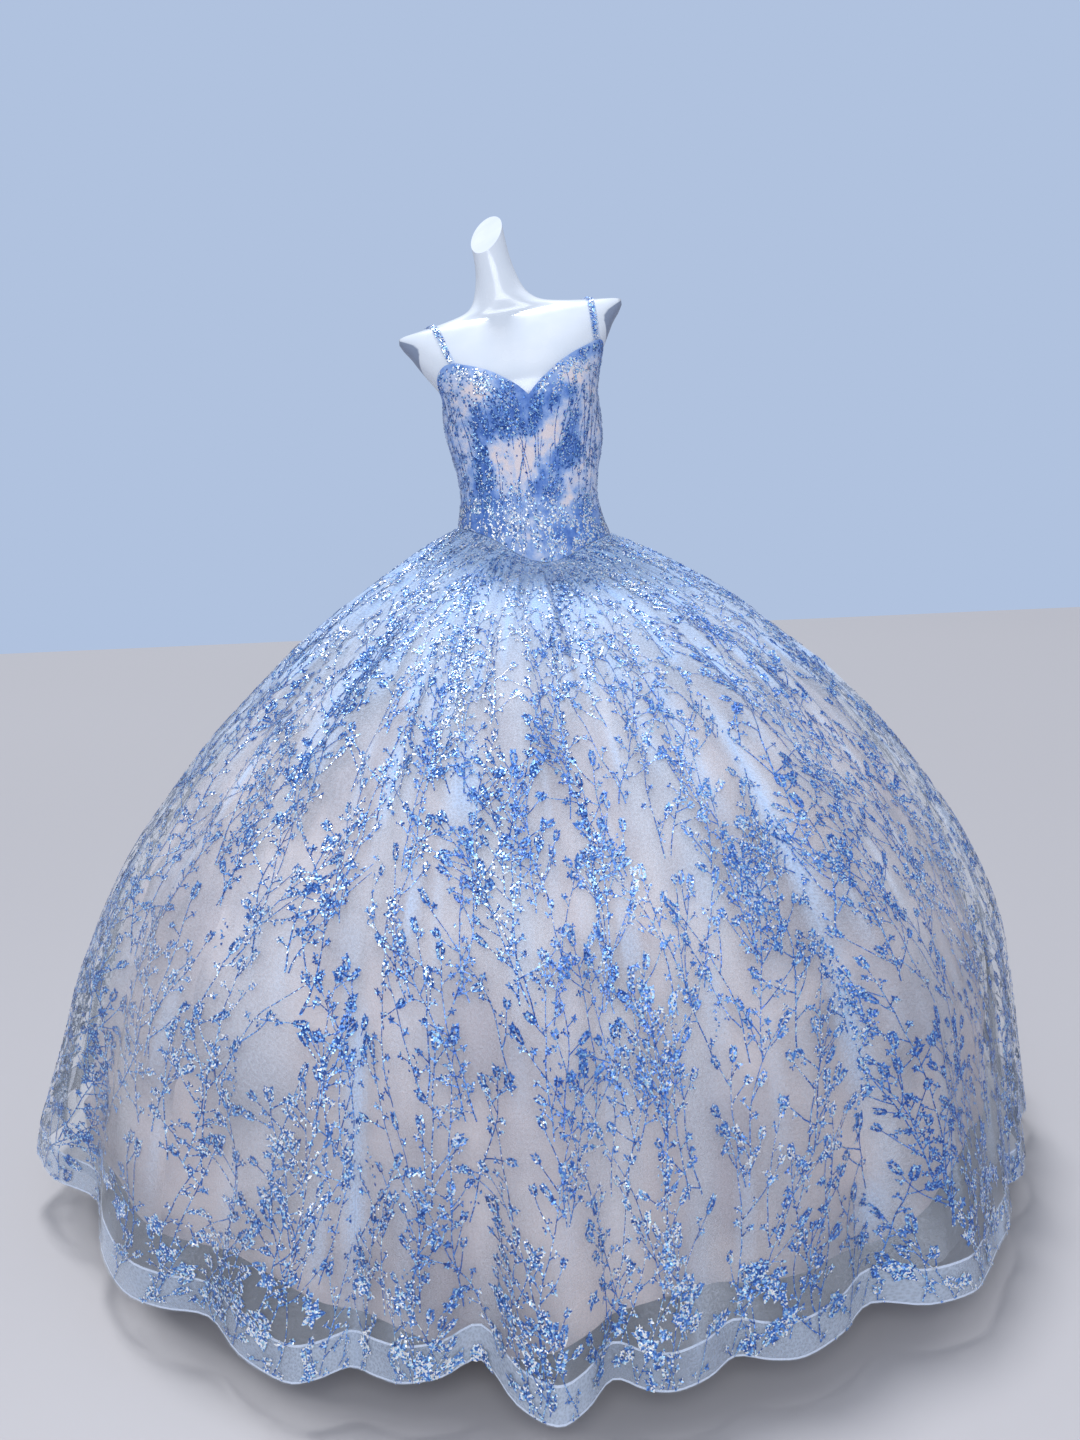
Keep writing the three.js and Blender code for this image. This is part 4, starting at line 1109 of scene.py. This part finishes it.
# %% Print meshes
# A petal's four corners, tip first: across, ahead and how high
PETAL_ACROSS = (0.0, 0.85, 0.0, -0.85)
PETAL_AHEAD = (1.15, 0.2, -0.85, 0.2)
PETAL_HIGH = (0.9, 0.7, 0.1, 0.3)


def petal_corners(petals, place):
    """Flat places of the four corners of every petal that lies on the cloth."""
    petals = np.array(petals, float)
    on_cloth = place(petals[:, 0], petals[:, 1], np.zeros(len(petals)))[1]
    x, y, heading, size, stretch = petals[on_cloth].T[..., None]
    across = size * np.array(PETAL_ACROSS)
    ahead = size * stretch * np.array(PETAL_AHEAD)
    corner_x = x + across * np.cos(heading) + ahead * np.sin(heading)
    corner_y = y - across * np.sin(heading) + ahead * np.cos(heading)
    return corner_x.ravel(), corner_y.ravel()


def stem_edges(stems):
    """Flat places along both edges of every stem, and which of them have a next one on their stem."""
    edges, has_next = [], []
    for line in stems:
        x, y, heading = np.array(line, float).T
        wide = np.linspace(STEM_WIDE, STEM_WIDE * STEM_TAPER, len(line)) / 2
        dx, dy = wide * np.cos(np.radians(heading)), wide * np.sin(np.radians(heading))
        edges.append(np.stack([x - dx, y + dy, x + dx, y - dy]))
        has_next += [True] * (len(line) - 1) + [False]
    return np.concatenate(edges, axis=1), np.array(has_next)


def make_print(name, pattern, place, silver_and_glint, lift):
    """Raised petals and stems as one mesh. place turns flat points and heights into points in space and
    says which are on the cloth, and the fourth argument gives how pale the flakes are and how thick their
    painted glints are at flat points."""
    petal_x, petal_y = petal_corners(pattern["petals"], place)
    petals = place(petal_x, petal_y, np.resize(PETAL_HIGH, len(petal_x)) + lift)[0]
    (left_x, left_y, right_x, right_y), has_next = stem_edges(pattern["stems"])
    height = np.full(len(left_x), lift + STEM_HIGH)
    left_edge, on_left = place(left_x, left_y, height)
    right_edge, on_right = place(right_x, right_y, height)
    both = on_left & on_right
    n = len(petals) + np.nonzero(both & has_next & np.roll(both, -1))[0]
    stem_faces = np.column_stack([n, n + len(left_x), n + len(left_x) + 1, n + 1])
    petal_faces = np.arange(len(petals)).reshape(-1, 4)[:, ::-1]
    stem_silver_and_glint = silver_and_glint(left_x, left_y) * STEM_SILVER_AND_GLINT
    return make_piece(
        name, np.concatenate([petals, left_edge, right_edge]),
        petal_faces.tolist() + stem_faces.tolist(), [glitter],
        marks={"silver_and_glint": np.concatenate([silver_and_glint(petal_x, petal_y), stem_silver_and_glint, stem_silver_and_glint])})


# %% Print on the overskirt
SPRIG_APART, SPRIG_ROWS_APART, SPRIG_LONG = 44, 122, 210
HEM_SPREAD = 0.3
WAIST_PETALS, WAIST_FADE = 70, 80
HEM_SPRAY_APART = 40

for name, start, end in OVERSKIRT_GORES:
    chance, pattern = start_print(name)
    middle = (start + end) / 2
    half = (end - start) / 2 * HEM_COLUMN_WIDE
    points = overskirt[name][1]
    normals = normals_of(points)
    for tier in range(int(SKIRT_LONG / SPRIG_ROWS_APART) + 2):
        y = -SKIRT_LONG - 60 + tier * SPRIG_ROWS_APART
        apart = SPRIG_APART * (1 + HEM_SPREAD * max(-y, 0) / SKIRT_LONG)
        for n in range(int(2 * half / apart) + 2):
            x = -half + (n + tier * 0.37 % 1) * apart + chance.uniform(-20, 20)
            if abs(x) < (end - start) / 2 * flat_wide(-y) + 40:
                foot = y + chance.uniform(-50, 50)
                grow_sprig(pattern, chance, x, foot, SPRIG_LONG * chance.uniform(0.8, 1.2))
    for _ in range(WAIST_PETALS * (end - start)):
        y = -chance.expovariate(1 / WAIST_FADE) - 3
        x = chance.uniform(-0.5, 0.5) * (end - start) * flat_wide(-y)
        add_petal(pattern, chance, x, y, chance.uniform(-40, 40), 2.0)
    for n in range(int(2 * half / HEM_SPRAY_APART)):
        x = -half + n * HEM_SPRAY_APART + chance.uniform(-18, 18)
        for _ in range(chance.choice((1, 2, 3))):
            spot = x + chance.gauss(0, 12), -SKIRT_LONG + chance.uniform(6, 120)
            add_floret(pattern, chance, *spot, chance.uniform(3.0, 6.8))
        spot = x, -SKIRT_LONG + chance.uniform(4, 80)
        add_head(pattern, chance, *spot, chance.uniform(-60, 60), 8, 3.4)

    def on_gore(x, y, height):
        slant = -y
        column = middle + x / flat_wide(np.clip(slant, 0, SKIRT_LONG))
        inside = (slant > 3) & (slant < SKIRT_LONG - 2) & (column > start + 0.01) & (column < end - 0.01)
        rows = slant / SKIRT_LONG * (OVERSKIRT_ROWS - 1)
        return lay(points, normals, rows, (column - start) * 2 * OVERSKIRT_STEPS, height), inside

    def silver_and_glint_on_gore(x, y):
        share = np.clip(-y / SKIRT_LONG, 0, 1)
        around = (middle + x / flat_wide(share * SKIRT_LONG)) / WAIST_COLUMNS
        patches = soft_noise(71, around, share, 44, 9) + 0.5 * soft_noise(72, around, share, 130, 26)
        waist, hem = bell(share, 0.16), bell(share - 1, 0.07)
        return np.clip(0.28 + 0.42 * patches + 0.5 * waist + 0.4 * hem, 0, 1)

    make_print(name + "_print", pattern, on_gore, silver_and_glint_on_gore, 0.5)

# %% [markdown]
# ### Print on the bodice
# The bodice carries the same print, cut so that it crowds along the neckline, the princess seams and
# the waist, and leaves small bare places of satin between.

# %% Print on the bodice
PANEL_TALL = 240
STEMS_APART = 7
PETAL_ROOM = 5.0
SILVER_AND_GLINT_THICK = 0.8

for name, start, end in BODICE_PANELS:
    chance, pattern = start_print(name)
    points = bodice[name][1]
    normals = normals_of(points)
    wide = (end - start) * COLUMN_WIDE
    draw = np.random.RandomState(start + 1)
    x, y, luck = draw.uniform(0, 1, (3, int(wide * PANEL_TALL / PETAL_ROOM)))
    angle = waist_angle(start + x * (end - start))
    seam = waist_seam_height(angle)
    height = seam + y * (neckline_height(angle) - seam)
    thick = np.maximum(bloom_at(angle, height), SILVER_AND_GLINT_THICK * silver_and_glint_at(angle, height))
    clumped = 0.5 + 0.9 * soft_noise(81, angle / 360, y, 90, 22)
    for spot in np.stack([x * wide, y * PANEL_TALL], -1)[luck < thick**1.5 * clumped]:
        add_petal(pattern, chance, *spot, chance.uniform(-180, 180), 1.8)
    for _ in range(int(wide / STEMS_APART)):
        foot = chance.uniform(0, wide), chance.uniform(0, 150)
        line = grow_stem(chance, *foot, chance.uniform(-9, 9), chance.uniform(40, 120), 0)
        pattern["stems"].append(line)
        if chance.random() < 0.5:
            add_clump(pattern, chance, *line[-1], 16, 6)

    def on_panel(x, y, height):
        rows = (1 - y / PANEL_TALL) * (BODICE_ROWS - 1)
        inside = (x > 0.6) & (x < wide - 0.6) & (y > 1) & (y < PANEL_TALL - 2)
        return lay(points, normals, rows, x / COLUMN_WIDE * PANEL_STEPS, height), inside

    def silver_and_glint_on_panel(x, y):
        angle = waist_angle(start + x / COLUMN_WIDE)
        seam = waist_seam_height(angle)
        return silver_and_glint_at(angle, seam + y / PANEL_TALL * (neckline_height(angle) - seam))

    make_print(name + "_print", pattern, on_panel, silver_and_glint_on_panel, 0.3)

# %% [markdown]
# ## Straps
# Each strap is a narrow strip of printed net over the shoulder. It is laid on the form by casting
# lines at it from outside, as a tape would lie, so it neither floats nor sinks.

# %% Strap places
# Each strap's name, the waist column over which it starts, how far to the side its top lies, and the
# column over which it ends
STRAPS = (("strap_left", 18, -158, 8), ("strap_right", 36, 106, 46))
STRAP_WIDE, STRAP_LIFT, STRAP_END_GAP, STRAP_START_TURN = 12, 1.5, 0.8, 2.8
STRAP_FRONT, STRAP_FAN, STRAP_BACK, STRAP_EASE = 5, 28, 10, 3
STRAP_HEART_Y, STRAP_HEART_DROP, STRAP_RAY = 5, 42, 2000

form_tree = BVHTree.FromPolygons(
    [v.co / MM for v in torso.data.vertices], [list(p.vertices) for p in torso.data.polygons])


def form_hit(heart, out):
    return form_tree.ray_cast(heart + out * STRAP_RAY, -out)[0]


def strap_end(angle):
    z = float(neckline_height(angle))
    x, y, height = form_point(z, angle, 0)
    return x, height + STRAP_END_GAP, float(bodice_lift(angle, z)) + 0.3


def strap_stations(column, top, back_column, top_z):
    """Places along a strap: a point inside the form, a direction out of it and a lift off it."""
    side = math.copysign(1, top)
    sx, sz, start_lift = strap_end(waist_angle(column) - side * STRAP_START_TURN)
    ex, ez, end_lift = strap_end(waist_angle(back_column))
    heart_z = top_z - STRAP_HEART_DROP
    half_way, back_way = STRAP_FRONT + STRAP_FAN / 2, STRAP_BACK + STRAP_FAN / 2
    stations = []
    for step in range(STRAP_FRONT + STRAP_FAN + 1 + STRAP_BACK):
        ease = min(step / STRAP_EASE, 1)
        lift = start_lift + (STRAP_LIFT - start_lift) * ease
        x = sx + (top - sx) * step / half_way
        z, tilt = sz + (heart_z - sz) * min(step / STRAP_FRONT, 1), 0
        left = STRAP_FRONT + STRAP_FAN + STRAP_BACK - step
        if step >= half_way:
            x = ex + (top - ex) * left / back_way
        if step >= STRAP_FRONT:
            tilt = math.pi * min((step - STRAP_FRONT) / STRAP_FAN, 1)
        if left < STRAP_BACK:
            z = heart_z + (ez - heart_z) * (STRAP_BACK - left) / STRAP_BACK
            lift = end_lift + (STRAP_LIFT - end_lift) * min(left / STRAP_EASE, 1)
        out = Vector((0, -math.cos(tilt), math.sin(tilt)))
        stations.append((Vector((x, STRAP_HEART_Y, z)), out, lift))
    return stations


# %% Straps
STRAP_COLUMNS = 7
STRAP_WALL, STRAP_ROOM, STRAP_ARCH = 0.8, 1.0, 0.4
FLORETS_APART, FIRST_FLORET = 11, 6

straps = {}
for name, column, top, back_column in STRAPS:
    top_hit = form_hit(Vector((top, STRAP_HEART_Y, 0)), Vector((0, 0, 1)))
    points = []
    for heart, out, lift in strap_stations(column, top, back_column, top_hit.z):
        for share in np.linspace(-1, 1, STRAP_COLUMNS):
            spot = heart + Vector((share * STRAP_WIDE / 2, 0, 0))
            high = lift + STRAP_ROOM + STRAP_ARCH * (1 - share * share)
            points.append(tuple(form_hit(spot, out) + out * high))
    points = np.array(points).reshape(-1, STRAP_COLUMNS, 3)
    # Rows that run up the front need their columns the same way round as a panel that runs down
    points = points[:, ::-1] if np.dot(normals_of(points)[2, 3], (0, -1, 0)) < 0 else points
    normals = normals_of(points)
    half = STRAP_WIDE / 2
    steps = np.linalg.norm(np.diff(points[:, STRAP_COLUMNS // 2], axis=0), axis=1)
    travel = np.concatenate([[0], np.cumsum(steps)])
    across = np.linspace(-half, half, STRAP_COLUMNS)
    flat = np.stack(np.broadcast_arrays(across[None, :], -travel[:, None]), -1)
    marks = {"fold": np.full(points.shape[:2], 0.2)}
    piece = make_shell(name + "_net", points, STRAP_WALL, [doubled_tulle], flat, marks)
    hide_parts(name)
    straps[name] = piece, points

    chance, pattern = start_print(name)
    stem = grow_stem(chance, half, 0, 0, travel[-1] - 14, 0)
    pattern["stems"].append([(half + 1.5 * math.sin(y / 17), y, 0) for _, y, _ in stem])
    for y in np.arange(FIRST_FLORET, travel[-1] - FIRST_FLORET, FLORETS_APART):
        add_floret(pattern, chance, half + chance.uniform(-1.6, 1.6), y, 2.2)
        side = chance.choice((-3.5, 3.5))
        add_petal(pattern, chance, half + side, y + 5, chance.uniform(-60, 60), 2.4)

    def on_strap(x, y, height):
        rows = np.interp(y, travel, np.arange(len(travel)))
        inside = (x > 0.2) & (x < STRAP_WIDE - 0.2) & (y > 2) & (y < travel[-1] - 2)
        return lay(points, normals, rows, x / STRAP_WIDE * (STRAP_COLUMNS - 1), height), inside

    def silver_and_glint_on_strap(x, y):
        return np.full(len(x), 0.6)

    make_print(name + "_print", pattern, on_strap, silver_and_glint_on_strap, 0.3)
    print(name, "length:", round(float(travel[-1]) * MM, 3), "m")

# %% [markdown]
# ## What each sheet was cut to
# Cloth is bought flat. Each panel's cut is worked out from the piece itself: its widest row and its
# longest column. Most gores taper from hem to waist.

TURNED_IN = 0.01
# Each layer's pieces, how they are held, on what they rest and how much wider they were cut
panel_names = [name + "_cloth" for name, _, _ in BODICE_PANELS]
LAYERS = (
    (bodice, "stretched", ["torso_shell"], 1.0),
    (straps, "laid", ["torso_shell"], 1.0),
    (overskirt, "gathered", panel_names, 1.08),
    (tulle, "gathered", panel_names, 1.04),
    (lining, "hung", panel_names, 1.0),
    (bands, "hung", [gore + "_net" for gore in overskirt], 1.0),
)
for layer, held, rests_on, ease in LAYERS:
    for name, (piece, points) in layer.items():
        wide, long = grid_reach(points)
        wide, long = round(wide * ease + TURNED_IN, 2), round(long + TURNED_IN, 2)

# %% [markdown]
# ## Floor and light
# A studio picture needs little: a pale floor, a high lamp and a weaker one in front. The high one is a
# sun with a wide disc, for soft shadows, a little behind the gown, so the skirt's lower front is in
# shade. The camera sees a flat blue wall, while the light that fills the shade is paler.

# %% Floor
FLOOR_HALF = 9
floor_paint, tree = start_material("pale_matt_floor_paint")
finish_material(tree, {
    "Base Color": ramp(tree, noise(tree, 1.5, 2.0), [(0.3, "#a9a6a8"), (0.7, "#b0adae")]),
    "Roughness": 0.45,
})
floor_mesh = bpy.data.meshes.new("floor")
corners = [(FLOOR_HALF * x, FLOOR_HALF * y, 0) for x, y in ((-1, -1), (1, -1), (1, 1), (-1, 1))]
floor_mesh.from_pydata(corners, [], [(0, 1, 2, 3)])
floor_mesh.materials.append(floor_paint)
floor = bpy.data.objects.new("floor", floor_mesh)
bpy.context.collection.objects.link(floor)
floor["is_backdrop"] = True

# %% Light
# Each lamp's place, the height of what it is aimed at, its power, its colour and its size, which is an
# angle for the sun and metres for the disc
LAMPS = (
    ("ceiling", "SUN", (-0.36, 0.98, 3.0), 0.0, 2.8, (0.95, 0.97, 1.0), {"angle": math.radians(13)}),
    ("front", "AREA", (-0.1, -3.2, 2.5), 0.8, 54, (0.92, 0.96, 1.0), {"shape": "DISK", "size": 2.0}),
)
for name, kind, spot, aim, power, tint, shape in LAMPS:
    lamp = bpy.data.lights.new(name, kind)
    for setting, value in {"energy": power, "color": tint, **shape}.items():
        setattr(lamp, setting, value)
    holder = bpy.data.objects.new(name, lamp)
    holder.location = spot
    holder.rotation_euler = (Vector((0, 0, aim)) - Vector(spot)).to_track_quat("-Z", "Y").to_euler()
    bpy.context.collection.objects.link(holder)

world = bpy.data.worlds.new("studio")
bpy.context.scene.world = world
world.use_nodes = True
tree = world.node_tree
tree.nodes.clear()
seen = add_node(tree, "LightPath", None, "Is Camera Ray")
fill = add_node(tree, "Background", {"Color": colour("#ccd6ea"), "Strength": 0.66})
wall = add_node(tree, "Background", {"Color": colour("#b0c2df"), "Strength": 1.0})
add_node(tree, "OutputWorld", {"Surface": add_node(tree, "MixShader", {0: seen, 1: fill, 2: wall})})
bpy.context.scene.view_settings.view_transform = "Standard"

# %% Sizes and the end
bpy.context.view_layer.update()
counts = {p.name: len(p.data.loops) - 2 * len(p.data.polygons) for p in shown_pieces() if p.type == "MESH"}
print("triangles in all:", sum(counts.values()), "in the largest piece:", max(counts.values()))
